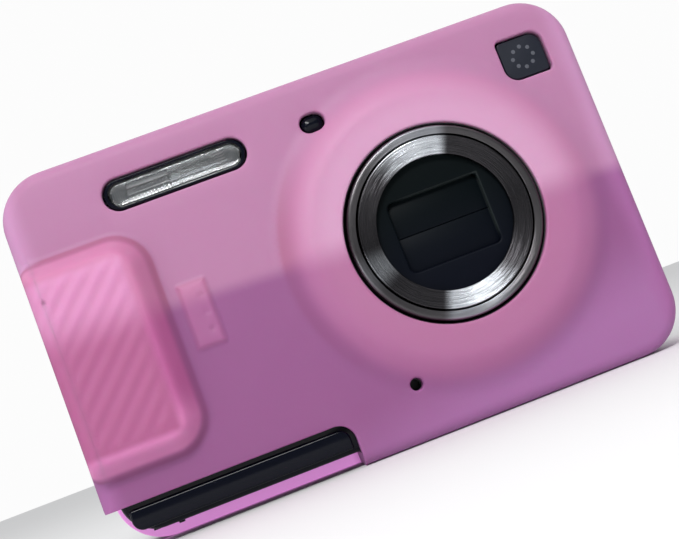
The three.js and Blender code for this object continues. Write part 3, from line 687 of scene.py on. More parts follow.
def silicone():
    """Translucent rubber, milky where it is thick, with painted light and shade in its colour: lit above a
    painted shadow line and in shade under it.
    """
    looks = bpy.context.scene.sleeve_looks
    r = Recipe("silicone", IOR=1.41)
    x, y, z = r.axes()
    height = r.maths("MAXIMUM", SHEET - y, 0.0)
    soft = 1.5 + 0.5 * height
    # Painted shadow line across the front: 1 above it, where the rubber is painted lit, 0 under it, where it
    # is painted in shade.
    painted_lit_part = r.between(z + 0.05 * x - looks.painted_shadow_line, soft * -1, soft)
    foot = r.between(z - 0.25 * x, 10.0, -3.0)

    # A colour's painted lit copy above the shadow line and its painted shaded copy under it.
    def lit_and_shaded(name):
        return r.mix(painted_lit_part, rgb(*getattr(looks, name + "_low")), rgb(*getattr(looks, name + "_high")))

    low = r.mix(foot, rgb(*looks.sheet_shaded), rgb(*looks.foot_colour))
    sheet = r.mix(painted_lit_part, low, rgb(*looks.sheet_lit))
    _, _, radius = r.from_lens(x, z)
    # The ring is lighter towards the lens: painted highlight on its top, and partly the thicker rubber; its
    # outer slope is painted in shade.
    ring = r.mix(r.between(radius, 25.0, 17.5), lit_and_shaded("slope"), lit_and_shaded("ring"))
    panel = PANEL.mask(r, x, z, 1.4)
    under = r.between(z, 22.0, 13.0)
    # The grip's rounded edge: painted shade on its flank, where the thick rubber also looks deeper; under the
    # ridges it turns to a lighter colour.
    band = r.mix(under * (1 - painted_lit_part), lit_and_shaded("band"), rgb(*looks.band_foot))
    grooves = r.maths("SINE", ridge_phase(x, z) * (2 * math.pi)) * 0.5 + 0.5
    # Painted shade in the grip's grooves.
    grooved = r.mix(grooves * 0.22, lit_and_shaded("panel"), lit_and_shaded("band"))
    grip = r.mix(panel, band, grooved)
    raised = r.mix(r.between(x * -1, 25.0, 28.0), ring, grip)
    front = r.mix(r.between(height, 0.15, 1.8), sheet, raised)
    # Painted shade in the crease at the foot of the ring and the grip.
    crease = r.between(height, 0.0, 0.35) * r.between(height, 2.2, 0.5) * r.between(x, 2.0, -12.0)
    front = r.mix(crease * 0.75, front, lit_and_shaded("crease"))
    front = r.mix(TAB.mask(r, x, z, 1.4) * 0.8, front, lit_and_shaded("slope"))
    # Painted highlight along the rolled side edges.
    rim = r.between(r.maths("ABSOLUTE", x), SIDE - 4.5, SIDE - 1.0) * r.between(height, 1.0, 0.2)
    front = r.mix(rim, front, lit_and_shaded("edge"))
    body = r.mix(r.between(y, SHEET + 1.0, SHEET + 5.0), front, lit_and_shaded("side"))
    cloud = r.noise(14.0, 2.0, 0.5)
    r.set("Base Color", r.mix(0.1 * cloud, body, rgb(*looks.slope_high)))
    # Painted glow: the cut edge under the trim emits a pink light, though it is no lamp.
    painted_glow_mask = r.between(y, 2.6, 3.3) * r.between(y, 5.4, 4.2)
    painted_glow_mask = painted_glow_mask * r.between(z, 8.2, 7.0) * r.between(x, -6.0, -9.0)
    r.set("Emission Color", r.mix(painted_glow_mask, rgb(0, 0, 0), rgb(*looks.painted_glow)))
    r.set("Emission Strength", 1.0)
    r.set("Subsurface Weight", 0.5)
    r.set("Subsurface Radius", (1.0, 0.4, 0.7))
    r.set("Subsurface Scale", 1.6 * MM)
    r.set("Specular IOR Level", 0.35)
    grain = r.noise(0.35, 2.0, 0.6)
    haze = r.noise(5.0, 3.0, 0.6)
    r.set("Roughness", 0.44 + 0.12 * haze + 0.04 * grain)
    r.bump(grain * 0.5 + haze, 0.015)
    return r.material


def moulded(name, colour, rough, grain, depth, gloss=0.4):
    """Moulded plastic: a base colour with faint clouding, fine grain and handling marks."""
    r = Recipe(name, Specular_IOR_Level=gloss)
    cloud = r.noise(9.0, 3.0, 0.55)
    fine = r.noise(grain, 2.0, 0.6)
    lighter = tuple(min(1.0, c * 1.35 + 0.002) for c in colour)
    r.set("Base Color", r.mix(cloud, rgb(*colour), rgb(*lighter)))
    r.set("Roughness", rough - 0.04 + 0.1 * cloud + 0.05 * fine)
    r.bump(fine, depth)
    return r.material


def black_gloss():
    """Gloss black plastic with smears and a little dust."""
    r = Recipe("black_gloss", Specular_IOR_Level=0.16)
    smear = r.noise(7.0, 4.0, 0.6, distortion=0.6)
    dust = r.between(r.noise(0.45, 2.0, 0.5), 0.74, 0.8)
    r.set("Base Color", r.mix(dust * 0.3, rgb(0.0025, 0.0033, 0.0075), rgb(0.05, 0.055, 0.07)))
    r.set("Roughness", 0.07 + 0.1 * smear + 0.25 * dust)
    r.bump(r.noise(6.0, 2.0, 0.5), 0.012)
    return r.material


def lathe_metal(name, dark, highlight_colour, rough, pitch, depth):
    """Metal turned on a lathe: fine rings about the lens axis, with two opposite bright sectors of painted
    highlight.
    """
    r = Recipe(name, Metallic=1.0)
    x, _, z = r.axes()
    dx, dz, radius = r.from_lens(x, z)
    angle = r.maths("ARCTAN2", dz, dx)
    track = r.node("ShaderNodeCombineXYZ", None, {0: radius / pitch, 1: angle * 1.2})
    rings = r.node(
        "ShaderNodeTexNoise", {"noise_dimensions": "2D"}, {"Vector": track, "Scale": 1.0, "Detail": 1.0}
    )
    half_turn = r.maths("FRACT", angle * (1 / math.pi) + 1.0)
    # Painted highlights: two opposite bright sectors and a faint one on the left, painted into the base
    # colour where a lamp's reflection would fall.
    highlight_sweep = r.between(half_turn, 0.37, 0.42) * r.between(half_turn, 0.72, 0.5)
    faint = r.between(r.maths("ABSOLUTE", half_turn - 0.083), 0.09, 0.01) * r.between(dx, 0.0, -4.0)
    painted_highlight = r.maths("MAXIMUM", highlight_sweep, faint * 0.35)
    wear = r.noise(3.0, 4.0, 0.6)
    tint = r.mix(painted_highlight, rgb(*dark), rgb(*highlight_colour))
    r.set("Base Color", r.mix(0.3 * rings, tint, rgb(*(c * 0.45 for c in dark))))
    r.set("Roughness", rough + 0.1 * rings + 0.06 * wear)
    r.bump(rings, depth)
    return r.material


def satin_silver():
    return lathe_metal("satin_silver", (0.1, 0.095, 0.1), (0.34, 0.35, 0.38), 0.22, 0.08, 0.03)


def gunmetal():
    return lathe_metal("gunmetal", (0.05, 0.048, 0.052), (0.78, 0.82, 0.87), 0.18, 0.09, 0.04)


def plain_metal(name, colour, rough, grain=0.3):
    """Brushed or polished metal, with fine streaks along its height and faint stains."""
    r = Recipe(name, Metallic=1.0)
    streak = r.node("ShaderNodeMapping", None, {"Vector": r.place(), "Scale": (1.0, 1.0, 0.08)})
    lines = r.noise(grain, 3.0, 0.6, streak)
    stain = r.noise(4.0, 3.0, 0.5)
    r.set("Base Color", r.mix(stain * 0.4, rgb(*colour), rgb(*(c * 0.7 for c in colour))))
    r.set("Roughness", rough + 0.15 * lines)
    r.bump(lines, 0.005)
    return r.material


def black_disc():
    """Dull black round the lens window, with a thin lit line at the window's upper right edges."""
    r = Recipe("black_disc", Specular_IOR_Level=0.06)
    cloud = r.noise(5.0, 2.0, 0.5)
    x, _, z = r.axes()
    cool = r.between(z, LENS[1] - 9, LENS[1] + 9)
    face = r.mix(cool, rgb(0.002, 0.003, 0.007), rgb(0.0015, 0.0035, 0.004))
    rim = WINDOW_RIM.mask(r, x, z, 0.2) * (1 - WINDOW.mask(r, x, z, 0.1))
    # Painted highlight: a thin lit line along the window's upper right rim.
    lit = rim * r.between((x - LENS[0]) + (z - LENS[1]) * 1.3, 0.5, 4.0)
    r.set("Base Color", r.mix(lit * 0.6, face, rgb(0.024, 0.03, 0.03)))
    r.set("Roughness", 0.42 + 0.1 * cloud)
    r.bump(r.noise(0.12, 2.0, 0.5), 0.003)
    return r.material


def clear_glass():
    """Clear glass with faint smears."""
    r = Recipe("clear_glass", IOR=1.49)
    smear = r.noise(4.0, 3.0, 0.6)
    r.set("Base Color", rgb(0.9, 0.91, 0.92))
    r.set("Roughness", 0.02 + 0.06 * smear)
    r.set("Transmission Weight", 1.0)
    return r.material


def board():
    """Green circuit board with paler tracks."""
    r = Recipe("board")
    tracks = r.node("ShaderNodeTexBrick", None, {"Vector": r.place(), "Scale": 1 / (6 * MM)}, "Fac")
    cloud = r.noise(3.0, 3.0, 0.6)
    r.set("Base Color", r.mix(tracks, rgb(0.01, 0.09, 0.04), rgb(0.03, 0.2, 0.09)))
    r.set("Roughness", 0.35 + 0.2 * cloud)
    r.bump(tracks, 0.03)
    return r.material


def screen():
    """A dark screen under clear gloss, with a black border."""
    r = Recipe("screen")
    smear = r.noise(11.0, 4.0, 0.6, distortion=0.8)
    x, _, z = r.axes()
    edge_x = r.maths("ABSOLUTE", x - SCREEN.mid.x) - (SCREEN.size.x / 2 - 2.6)
    edge_z = r.maths("ABSOLUTE", z - SCREEN.mid.z) - (SCREEN.size.z / 2 - 2.6)
    border = r.between(r.maths("MAXIMUM", edge_x, edge_z), -0.08, 0.08)
    r.set("Base Color", r.mix(border, rgb(0.02, 0.022, 0.026), rgb(0.004, 0.004, 0.005)))
    r.set("Roughness", 0.04 + 0.08 * smear)
    r.set("Coat Weight", 1.0)
    r.set("Coat Roughness", 0.02)
    return r.material


def printed_mark():
    """Faint grey ink."""
    r = Recipe("printed_mark")
    worn = r.noise(0.4, 3.0, 0.6)
    r.set("Base Color", r.mix(worn, rgb(0.05, 0.055, 0.07), rgb(0.09, 0.095, 0.115)))
    r.set("Roughness", 0.4 + 0.1 * worn)
    return r.material


RECIPES = {
    "silicone": silicone,
    "black_gloss": black_gloss,
    "black_matt": lambda: moulded("black_matt", (0.011, 0.0115, 0.013), 0.46, 0.22, 0.02),
    "satin_silver": satin_silver,
    "gunmetal": gunmetal,
    "black_disc": black_disc,
    "clear_glass": clear_glass,
    "mirror_metal": lambda: plain_metal("mirror_metal", (0.83, 0.84, 0.84), 0.06, 0.8),
    "slate": lambda: moulded("slate", (0.009, 0.011, 0.018), 0.36, 0.15, 0.006, 0.25),
    "board": board,
    "steel": lambda: plain_metal("steel", (0.6, 0.61, 0.62), 0.24),
    "brass": lambda: plain_metal("brass", (0.68, 0.47, 0.18), 0.22),
    "grey_plastic": lambda: moulded("grey_plastic", (0.045, 0.047, 0.052), 0.36, 0.2, 0.012),
    "screen": screen,
    "record_red": lambda: moulded("record_red", (0.42, 0.018, 0.022), 0.25, 0.2, 0.005, 0.6),
    "printed_mark": printed_mark,
}


def dressed(obj, slot, body, *nodes, look=None):
    """Gives a piece its finish, its body and the frame nodes that it stands for."""
    obj.data.materials.clear()
    obj.data.materials.append(finish(look or slot))
    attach(obj, body)
    if nodes:
        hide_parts(*nodes)
    return obj


def refined(node, body, slot, edge=0.12):
    """A copy of a CAD node with its flat faces joined and its sharp edges rounded, which stands for it."""
    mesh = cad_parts[node].data.copy()
    obj = linked(node + "_finished", mesh)
    shape = bmesh.new()
    shape.from_mesh(mesh)
    bmesh.ops.remove_doubles(shape, verts=shape.verts, dist=2e-6)
    flat = math.radians(1)
    bmesh.ops.dissolve_limit(shape, angle_limit=flat, verts=shape.verts, edges=shape.edges, delimit=set())
    shape.to_mesh(mesh)
    shape.free()
    modifier = obj.modifiers.new("rounded", "BEVEL")
    modifier.width = edge * MM
    modifier.segments = 2
    modifier.limit_method = "ANGLE"
    modifier.angle_limit = math.radians(35)
    settle(obj)
    return dressed(obj, slot, body, node)


def flared(name, outline, surface, depth, rim, place=facing_front, outward=-1, reach=8.0):
    """A cutter for a hole with a rounded rim in a surface, from outside it to a depth under it."""
    made = Surface()
    rows = [made.loop(outline.grown(rim), surface + outward * reach)]
    rows += [made.loop(outline.grown(i), surface - outward * d) for i, d in quarter_round(rim, 4)]
    rows.append(made.loop(outline.grown(), surface - outward * depth))
    made.bridge_all(rows)
    made.cap(rows[0])
    made.cap(rows[-1])
    return made.piece(name, place)


# ---------------------------------------------------------------- the sleeve
LENS_HOLE = BARREL.size.x / 2 + 0.85
SLEEVE_LENS_HOLE = BARREL.size.x / 2 + 0.5
HOLE_RIM = 0.35
MIC_HOLE = 1.0
GRIP_TOE = 0.5
PANEL_BLEND = 2.2
RIDGE_FADE = 2.0
TAB_BLEND = 1.3
DIMPLE_DEPTH = 0.16
DIMPLE_RADIUS = 0.9


def slot_round(span, arc=12):
    """A hole with round ends that clears a piece."""
    return stadium(span.size.x + 2 * GAP, span.size.z + 2 * GAP, span.mid.x, span.mid.z, arc)


def sleeve_holes():
    badge_width, badge_height = BADGE.size.x + 2 * GAP, BADGE.size.z + 2 * GAP
    return [
        circle(SLEEVE_LENS_HOLE, *LENS, arc=32),
        slot_round(BEZEL, 10),
        slot_round(LAMP, 10),
        Outline(badge_width, badge_height, (2.2, 0.9, 2.2, 0.9), BADGE.mid.x, BADGE.mid.z, arc=6),
        circle(MIC_HOLE, MIC.mid.x, MIC.mid.z, arc=6),
    ]


def back_hole():
    """The wide opening round the screen and the rear buttons."""
    width, middle = 88.9, 0.25
    return Outline(width, SCREEN.size.z + 3.6, 3, middle, SCREEN.mid.z, arc=8, spacing=4)


class SleeveSheet:
    """The height of the sleeve's front over its flat sheet, and the points that describe it."""

    def __init__(self, shape):
        self.shape = shape
        self.outline = Outline(2 * SIDE, TOP, SLEEVE_CORNER, 0, MID_Z, arc=14, spacing=0.9)

    def rise(self, u, v):
        shape = self.shape
        radius = math.hypot(u - LENS[0], v - LENS[1])
        fall = smooth((radius - shape.ring_plateau) / (shape.ring_base - shape.ring_plateau))
        height = shape.ring_rise * (1 - fall)
        height += (GRIP_RISE - shape.panel_rise) * smooth((GRIP.depth(u, v) + GRIP_TOE) / shape.grip_flank)
        inset = PANEL.depth(u, v)
        if inset > 0:
            groove = 0.5 + 0.5 * math.sin(2 * math.pi * ridge_phase(u, v))
            height += smooth(inset / PANEL_BLEND) * shape.panel_rise
            height -= smooth(inset / RIDGE_FADE) * shape.ridge_depth * groove
        height += shape.tab_rise * smooth(TAB.depth(u, v) / TAB_BLEND)
        for x, z in DIMPLES:
            away = math.hypot(u - x, v - z)
            height -= DIMPLE_DEPTH * (1 - smooth(away / DIMPLE_RADIUS))
        return height

    def points(self, holes):
        """Points to draw the sheet through: close together where it bends, and clear of its edges."""
        shape = self.shape
        found = []
        for k, radius in enumerate(spread(SLEEVE_LENS_HOLE + 0.9, shape.ring_base + 0.6, 0.55)):
            found += around(LENS, radius, 144, 0.5 * (k % 2))
        for inset in spread(-0.9, shape.grip_flank, 0.42):
            found += GRIP.grown(-inset)
        for inset in (0.0, 0.6, 1.2, 1.8):
            found += [(u, v) for u, v in PANEL.grown(-inset) if u > 2.5 - SIDE]
        for inset in (-0.15, 0.15, 0.45, 0.8, 1.2):
            found += TAB.grown(-inset)
        for x, z in DIMPLES:
            for radius in (0.2, 0.45, 0.7, 0.95):
                found += circle(radius, x, z, arc=3).grown()
        found += self.ridge_points() + self.sheet_points()
        return [
            (u, v)
            for u, v in found
            if self.outline.depth(u, v) > shape.edge + 0.7 + shape.lean * self.rise(u, v)
            and not any(near_hole(u, v, hole) for hole in holes)
        ]

    def ridge_points(self):
        """Rows of points along the grip's ridges, ten rows to a ridge."""
        cos, sin = math.cos(RIDGE_ANGLE), math.sin(RIDGE_ANGLE)
        found = []
        for a in spread(-17, 17, RIDGE_PITCH / 10):
            for b in spread(-17, 17, 0.7):
                u, v = PANEL.across - a * sin + b * cos, PANEL.up + a * cos + b * sin
                if PANEL.depth(u, v) > PANEL_BLEND:
                    found.append((u, v))
        return found

    def sheet_points(self):
        """A wide grid over the flat part of the sheet."""
        found = []
        for u in spread(-SIDE, SIDE, 2.6):
            for v in spread(0, TOP, 2.6):
                near_ring = math.hypot(u - LENS[0], v - LENS[1]) < self.shape.ring_base + 1.4
                if not (near_ring or GRIP.inside(u, v, 1.6) or TAB.inside(u, v, 1.0)):
                    found.append((u, v))
        return found


def near_hole(u, v, hole):
    return hole.inside(u, v, 2 * HOLE_RIM)


SEAM = 2.0
CORNER_CUT_END = -7.7
CORNER_CUT_TOP = 7.3
CORNER_CUT_DEPTH = 14.8
OPENING_RIM = 0.5
OPENING_DEPTH = 4


def make_sleeve(shape):
    """The sleeve's front and back trays, joined at a seam and cut for the buttons, the port and the trim."""
    sheet = SleeveSheet(shape)
    holes = sleeve_holes()
    shared = {"inner_edge": 0.8, "rim": HOLE_RIM, "closed": False, "steps": 7}
    front = tray(
        sheet.outline,
        SHEET,
        SEAM,
        SLEEVE_WALL,
        shape.edge,
        holes=holes,
        rise=sheet.rise,
        inner=sheet.points(holes),
        lean=shape.lean,
        **shared,
    ).piece("sleeve_front")
    back = tray(sheet.outline, BACK, SEAM, SLEEVE_WALL, shape.edge, holes=[back_hole()], **shared)
    sleeve = join("silicone_sleeve_skin", [front, back.piece("sleeve_back")])
    width, height = 60, 20
    radii = (0.1, 0.1, 2.8, 0.1)
    corner = Outline(width, height, radii, CORNER_CUT_END - width / 2, CORNER_CUT_TOP - height / 2, arc=10)
    openings = (
        ("shutter", Outline(16, 12, 5.5, SHUTTER.mid.x, SHUTTER.mid.y), TOP, facing_up, 1),
        ("power", Outline(11, 9, 4, POWER.mid.x, POWER.mid.y), TOP, facing_up, 1),
        ("port", Outline(13.8, 15, 2, 2.1, 19.5), SIDE, facing_side, 1),
        ("lug", Outline(7, 11, 2, LUG.mid.y, LUG.mid.z), SIDE, facing_side, 1),
        ("tripod", circle(NUT.size.x / 2 + 1.4, NUT.mid.x, NUT.mid.y), 0, facing_up, -1),
    )
    cutters = [flared("corner", corner, SHEET, CORNER_CUT_DEPTH, 0.2)]
    for name, outline, surface, place, outward in openings:
        cutters.append(flared(name, outline, surface, OPENING_DEPTH, OPENING_RIM, place, outward))
    cut_out(sleeve, *cutters, angle=34)
    return dressed(sleeve, "silicone", ROOT, "silicone_sleeve")


# ---------------------------------------------------------------- covers and trim
CASE_EDGE = 1.1
COVER_WALL = 1.2


def case_cutters():
    """The openings that the two covers share along their seam."""
    bottom, top, side = CASE_FRONT.lo.z, CASE_FRONT.hi.z, CASE_FRONT.hi.x
    panel = Outline(42.6, 13, 2.3, -20, 2.2)
    door = Outline(DOOR.size.x + 1.9, DOOR.size.y + 0.6, 0.3, DOOR.mid.x + 0.6, DOOR.mid.y)
    screws = [Span(f"case_screw_{i}") for i in (1, 2)]
    cutters = [
        flared("top", panel, top, 3, 0.15, facing_up, 1),
        flared("door", door, bottom, 4, 0.1, facing_up),
        flared("tripod", circle(NUT.size.x / 2 + GAP, NUT.mid.x, NUT.mid.y), bottom, 2, 0.15, facing_up),
        flared("port", Outline(9.7, 11.6, 0.8, 2.35, 19.5), side, 2, 0.12, facing_side, 1),
        flared("lug", Outline(2.6, 6.6, 0.5, LUG.mid.y, LUG.mid.z), side, 2, 0.12, facing_side, 1),
    ]
    cutters += [flared("screw", circle(1.8, s.mid.x, s.mid.y), bottom, 0.8, 0.1, facing_up) for s in screws]
    return cutters


def make_cover(node, face, end, holes, rim, slot):
    """One of the case's two shells, cut with the openings that both share."""
    outline = Outline(CASE_FRONT.size.x, CASE_FRONT.size.z, CASE_CORNER, 0, MID_Z, arc=12)
    shell = tray(outline, face, end, COVER_WALL, CASE_EDGE, 0.3, holes, rim).piece(node + "_shell")
    cut_out(shell, *case_cutters())
    return dressed(shell, slot, ROOT, node)


def make_front_cover():
    holes = [
        circle(LENS_HOLE + 0.2, *LENS, arc=32),
        slot_round(BEZEL),
        slot_round(LAMP),
        circle(MIC_HOLE - 0.3, MIC.mid.x, MIC.mid.z, arc=6),
    ]
    make_cover("front_cover", CASE_FRONT.lo.y, CASE_FRONT.hi.y, holes, 0.15, "black_gloss")


REAR_BUTTONS = ("record_button", "playback_button", "menu_button", "delete_button")
RING = Span("four_way_ring")
ROCKER = Span("zoom_rocker")
SET = Span("set_button")
CAP_FOOT = 0.8


def make_rear_cover():
    holes = [
        Outline(SCREEN.size.x + 0.6, SCREEN.size.z + 0.6, 1.6, SCREEN.mid.x, SCREEN.mid.z, arc=6),
        circle(6.8, RING.mid.x, RING.mid.z),
        circle(3.9, ROCKER.mid.x, ROCKER.mid.z),
    ]
    for name in REAR_BUTTONS:
        button = Span(name)
        holes.append(circle(button.size.x / 2 - CAP_FOOT + GAP, button.mid.x, button.mid.z, arc=8))
    make_cover("rear_cover", CASE_REAR.hi.y, CASE_REAR.lo.y, holes, 0.2, "black_matt")


def make_trim():
    panel = Span("top_panel")
    holes = [
        circle(5 + GAP, SHUTTER.mid.x, SHUTTER.mid.y, arc=16),
        circle(3 + GAP, POWER.mid.x, POWER.mid.y, arc=12),
    ]
    outline = Outline(panel.size.x, panel.size.y, 2, panel.mid.x, panel.mid.y)
    top = plate("top_panel_plate", outline, panel.hi.z, panel.lo.z, 0.25, holes, 0.2, facing_up)
    dressed(top, "black_gloss", ROOT, "top_panel")
    corners = (4.0, 0.4, 1.69, 0.4)
    outline = Outline(TRIM.size.x, TRIM.size.z, corners, TRIM.mid.x, TRIM.mid.z, arc=10, spacing=2)
    strip = plate("lower_trim_strip", outline, TRIM.lo.y, TRIM.hi.y, 0.35, far_edge=0.1)
    dressed(strip, "black_gloss", ROOT, "lower_trim")


# ---------------------------------------------------------------- lens
INNER_BORE = 13.0
DISC_EDGE = 10.75
TURNED_LINES = 14
COLLAR_FOOT = 17
SHUTTER_BORE = 6.6


def make_outer_barrel():
    r_out, r_in = BARREL.size.x / 2, Span("inner_barrel").size.x / 2 + 0.2
    front = BARREL.lo.y
    groove = front + 1.6
    profile = [
        (r_in, front + 0.15, 0.15),
        (r_out - 0.35, front, 0.3),
        (r_out, front + 0.5, 0.4),
        (r_out, groove, 0),
        (r_out - 0.12, groove + 0.1, 0),
        (r_out - 0.12, groove + 0.3, 0),
        (r_out, groove + 0.4, 0),
        (r_out, BARREL.hi.y, 0.2),
        (r_in, BARREL.hi.y, 0.1),
    ]
    barrel = turned("outer_barrel_tube", profile, LENS, 160)
    dressed(barrel, "satin_silver", "outer_barrel", "outer_barrel")


def make_inner_barrel(shape):
    """The tube whose turned face slopes in to a step at the disc's edge."""
    inner = Span("inner_barrel")
    radius, lip = inner.size.x / 2, inner.lo.y
    seat = BARREL.lo.y + 0.9
    face_back = lip + shape.dish
    wide = radius - 0.4 - DISC_EDGE
    profile = [
        (DISC_EDGE, seat, 0),
        (DISC_EDGE, face_back + 0.12, 0.05),
        (DISC_EDGE + 0.12, face_back, 0.06),
    ]
    for k in range(1, TURNED_LINES):
        t = k / TURNED_LINES
        step = shape.turning_depth * (1 if k % 2 else -1)
        profile.append((DISC_EDGE + wide * t, face_back + (lip + 0.1 - face_back) * t + step, 0))
    profile += [
        (radius - 0.4, lip + 0.1, 0),
        (radius - 0.34, lip, 0.04),
        (radius - 0.12, lip + 0.02, 0.08),
        (radius, lip + 0.3, 0.12),
        (radius, inner.hi.y, 0.2),
        (INNER_BORE, inner.hi.y, 0.1),
        (INNER_BORE, seat + 0.35, 0),
        (DISC_EDGE, seat + 0.35, 0.05),
    ]
    tube = turned("inner_barrel_tube", profile, LENS, 160)
    dressed(tube, "gunmetal", "inner_barrel", "inner_barrel")


def make_housing():
    housing = Span("lens_housing")
    bore = BARREL.size.x / 2 + GAP
    step = CASE_FRONT.lo.y + COVER_WALL
    profile = [
        (bore, housing.lo.y + 0.1, 0.1),
        (LENS_HOLE - 0.15, housing.lo.y, 0.1),
        (LENS_HOLE - 0.15, step, 0),
        (COLLAR_FOOT, step + 0.3, 0.1),
        (COLLAR_FOOT, housing.hi.y, 0.4),
        (SHUTTER_BORE, housing.hi.y, 0.1),
        (SHUTTER_BORE, housing.hi.y - 1, 0.1),
        (bore, housing.hi.y - 1, 0.2),
    ]
    shell = turned("lens_housing_shell", profile, LENS, 128)
    dressed(shell, "black_matt", ROOT, "lens_housing")


def make_glass(node, body):
    """A lens element with a bulging front."""
    span = Span(node)
    radius = span.size.x / 2
    bulge = min(1.6, span.size.y * 0.5)
    angles = [k * QUARTER / 10 for k in range(11)]
    profile = [(radius * math.sin(a), span.lo.y + bulge * (1 - math.cos(a)), 0) for a in angles]
    profile += [(radius, span.hi.y, 0.1), (0, span.hi.y, 0)]
    glass = turned(node + "_element", profile, (span.mid.x, span.mid.z), 96, closed=False)
    dressed(glass, "clear_glass", body, node)


def make_lens(shape):
    make_outer_barrel()
    make_inner_barrel(shape)
    disc = Span("front_disc")
    outline = circle(disc.size.x / 2, *LENS, arc=32)
    made = plate("front_disc_plate", outline, disc.lo.y, disc.hi.y, 0.1, [WINDOW], 0.34)
    dressed(made, "black_disc", "inner_barrel", "front_disc")
    for side in ("upper", "lower"):
        refined(f"barrier_blade_{side}", f"{side}_blade", "black_disc", 0.08)
    make_housing()
    make_glass("front_lens", "inner_barrel")
    make_glass("rear_lens", "focus_group")


# ---------------------------------------------------------------- flash, lamp and badge
def small_box(name, w, h, d, edge):
    """A small block with rounded face edges, made round the origin for a tree to copy."""
    return plate(name, Outline(w, h, min(w, h) * 0.2, arc=2), 0.0, d, edge, steps=1)


def make_flash(shape, grid):
    window, tube = Span("flash_window"), Span("flash_tube")
    rim = stadium(BEZEL.size.x, BEZEL.size.z, BEZEL.mid.x, BEZEL.mid.z, arc=20)
    mouth = stadium(22, 4, BEZEL.mid.x, BEZEL.mid.z, arc=20)
    bezel = plate("flash_bezel_ring", rim, BEZEL.lo.y, BEZEL.hi.y, 0.14, [mouth], 0.12)
    dressed(bezel, "black_gloss", ROOT, "flash_bezel")
    outline = stadium(window.size.x, window.size.z, window.mid.x, window.mid.z, arc=20)
    pane = plate("flash_window_pane", outline, window.lo.y, window.hi.y, 0.22)
    dressed(pane, "clear_glass", ROOT, "flash_window")
    flute = (0.2, 2.6, 0.4, 0.06)
    patterns = (
        ("flash_prisms", (0.44, 0.82, 0.35, 0.16), -24.2, shape.prism_columns, shape.prism_rows, 6.4, 2.1),
        ("flash_fine_grid", (0.22, 0.3, 0.3, 0.08), -12.2, 5, 6, 1.4, 2.2),
        ("flash_flutes_left", flute, window.lo.x + 1.3, 6, 1, 1.8, 0.0),
        ("flash_flutes_right", flute, window.hi.x - 1.1, 6, 1, 1.8, 0.0),
    )
    for name, size, x, columns, rows, width, height in patterns:
        item = small_box(name, *size)
        counts = {"Columns": columns, "Rows": rows, "Width": width, "Height": height}
        repeated(item, grid, "mirror_metal", (x, window.hi.y + 0.12, window.mid.z), **counts)
        dressed(item, "mirror_metal", ROOT)
    make_trough()
    profile = [(0, tube.lo.x, 0), (0.8, tube.lo.x, 0.3), (0.8, tube.hi.x, 0.3), (0, tube.hi.x, 0)]
    lamp = turned("flash_tube_glass", profile, (tube.mid.y, tube.mid.z), 24, facing_side, closed=False)
    dressed(lamp, "clear_glass", ROOT, "flash_tube")


def make_trough():
    """The flash's reflector: a bent sheet, open to the front and closed by its own thickness at both ends."""
    reflector = Span("flash_reflector")
    steps = 14

    def arch(half_height, deep):
        angles = [math.pi * k / steps for k in range(steps + 1)]
        return [(half_height * math.cos(a), reflector.lo.y + deep * math.sin(a)) for a in angles]

    made = Surface()
    rows = []
    for x in (reflector.lo.x + 0.9, reflector.hi.x - 0.9):
        start = len(made.points)
        sheet = arch(2.1, 4.2) + arch(2.35, 4.5)[::-1]
        made.points += [(x, reflector.mid.z + z, y) for z, y in sheet]
        rows.append(list(range(start, len(made.points))))
    made.bridge(rows[0], rows[1])
    last = 2 * steps + 1
    for row in rows:
        made.faces += [(row[k], row[k + 1], row[last - 1 - k], row[last - k]) for k in range(steps)]
    dressed(made.piece("flash_reflector_trough"), "mirror_metal", ROOT, "flash_reflector")


def make_front_details(round_copies):
    bulge = 0.3
    outline = stadium(LAMP.size.x, LAMP.size.z, LAMP.mid.x, LAMP.mid.z, arc=12)

    def dome(u, v):
        return bulge * smooth(outline.depth(u, v) / (LAMP.size.z / 2))

    lamp = plate("af_lamp_window", outline, LAMP.lo.y + bulge, LAMP.hi.y, 0.35, dome=dome)
    dressed(lamp, "black_gloss", ROOT, "af_lamp_lens")
    outline = Outline(BADGE.size.x, BADGE.size.z, (2, 0.7, 2, 0.7), BADGE.mid.x, BADGE.mid.z, arc=10)
    badge = plate("badge_shield", outline, BADGE.lo.y + 0.05, BADGE.hi.y, 0.22)
    dressed(badge, "slate", ROOT, "badge_plate")
    mark = plate("badge_dots", circle(0.34, arc=4), 0.0, 0.08, 0.03, place=facing_up, steps=1)
    centre = (BADGE.mid.x, BADGE.lo.y + 0.1, BADGE.mid.z)
    repeated(mark, round_copies, "printed_mark", centre, Copies=8, Radius=1.75)
    dressed(mark, "slate", ROOT, look="printed_mark")


# ---------------------------------------------------------------- buttons
DISH = 0.35
TOP_FOOT = 1.0


def make_top_buttons():
    for name, span in (("shutter_button", SHUTTER), ("power_button", POWER)):
        r = span.size.x / 2 - TOP_FOOT
        foot_top = span.lo.z + 0.8
        profile = [(r * k / 10, span.hi.z - DISH * (1 - smooth(k / 8)), 0) for k in range(8)]
        profile += [
            (r - 0.45, span.hi.z, 0.25),
            (r, span.hi.z - 0.45, 0.2),
            (r, foot_top, 0),
            (r + TOP_FOOT, foot_top, 0.15),
            (r + TOP_FOOT, span.lo.z, 0.15),
            (0, span.lo.z, 0),
        ]
        cap = turned(name + "_cap", profile, (span.mid.x, span.mid.y), 128, facing_up, closed=False)
        dressed(cap, "satin_silver", name, name)


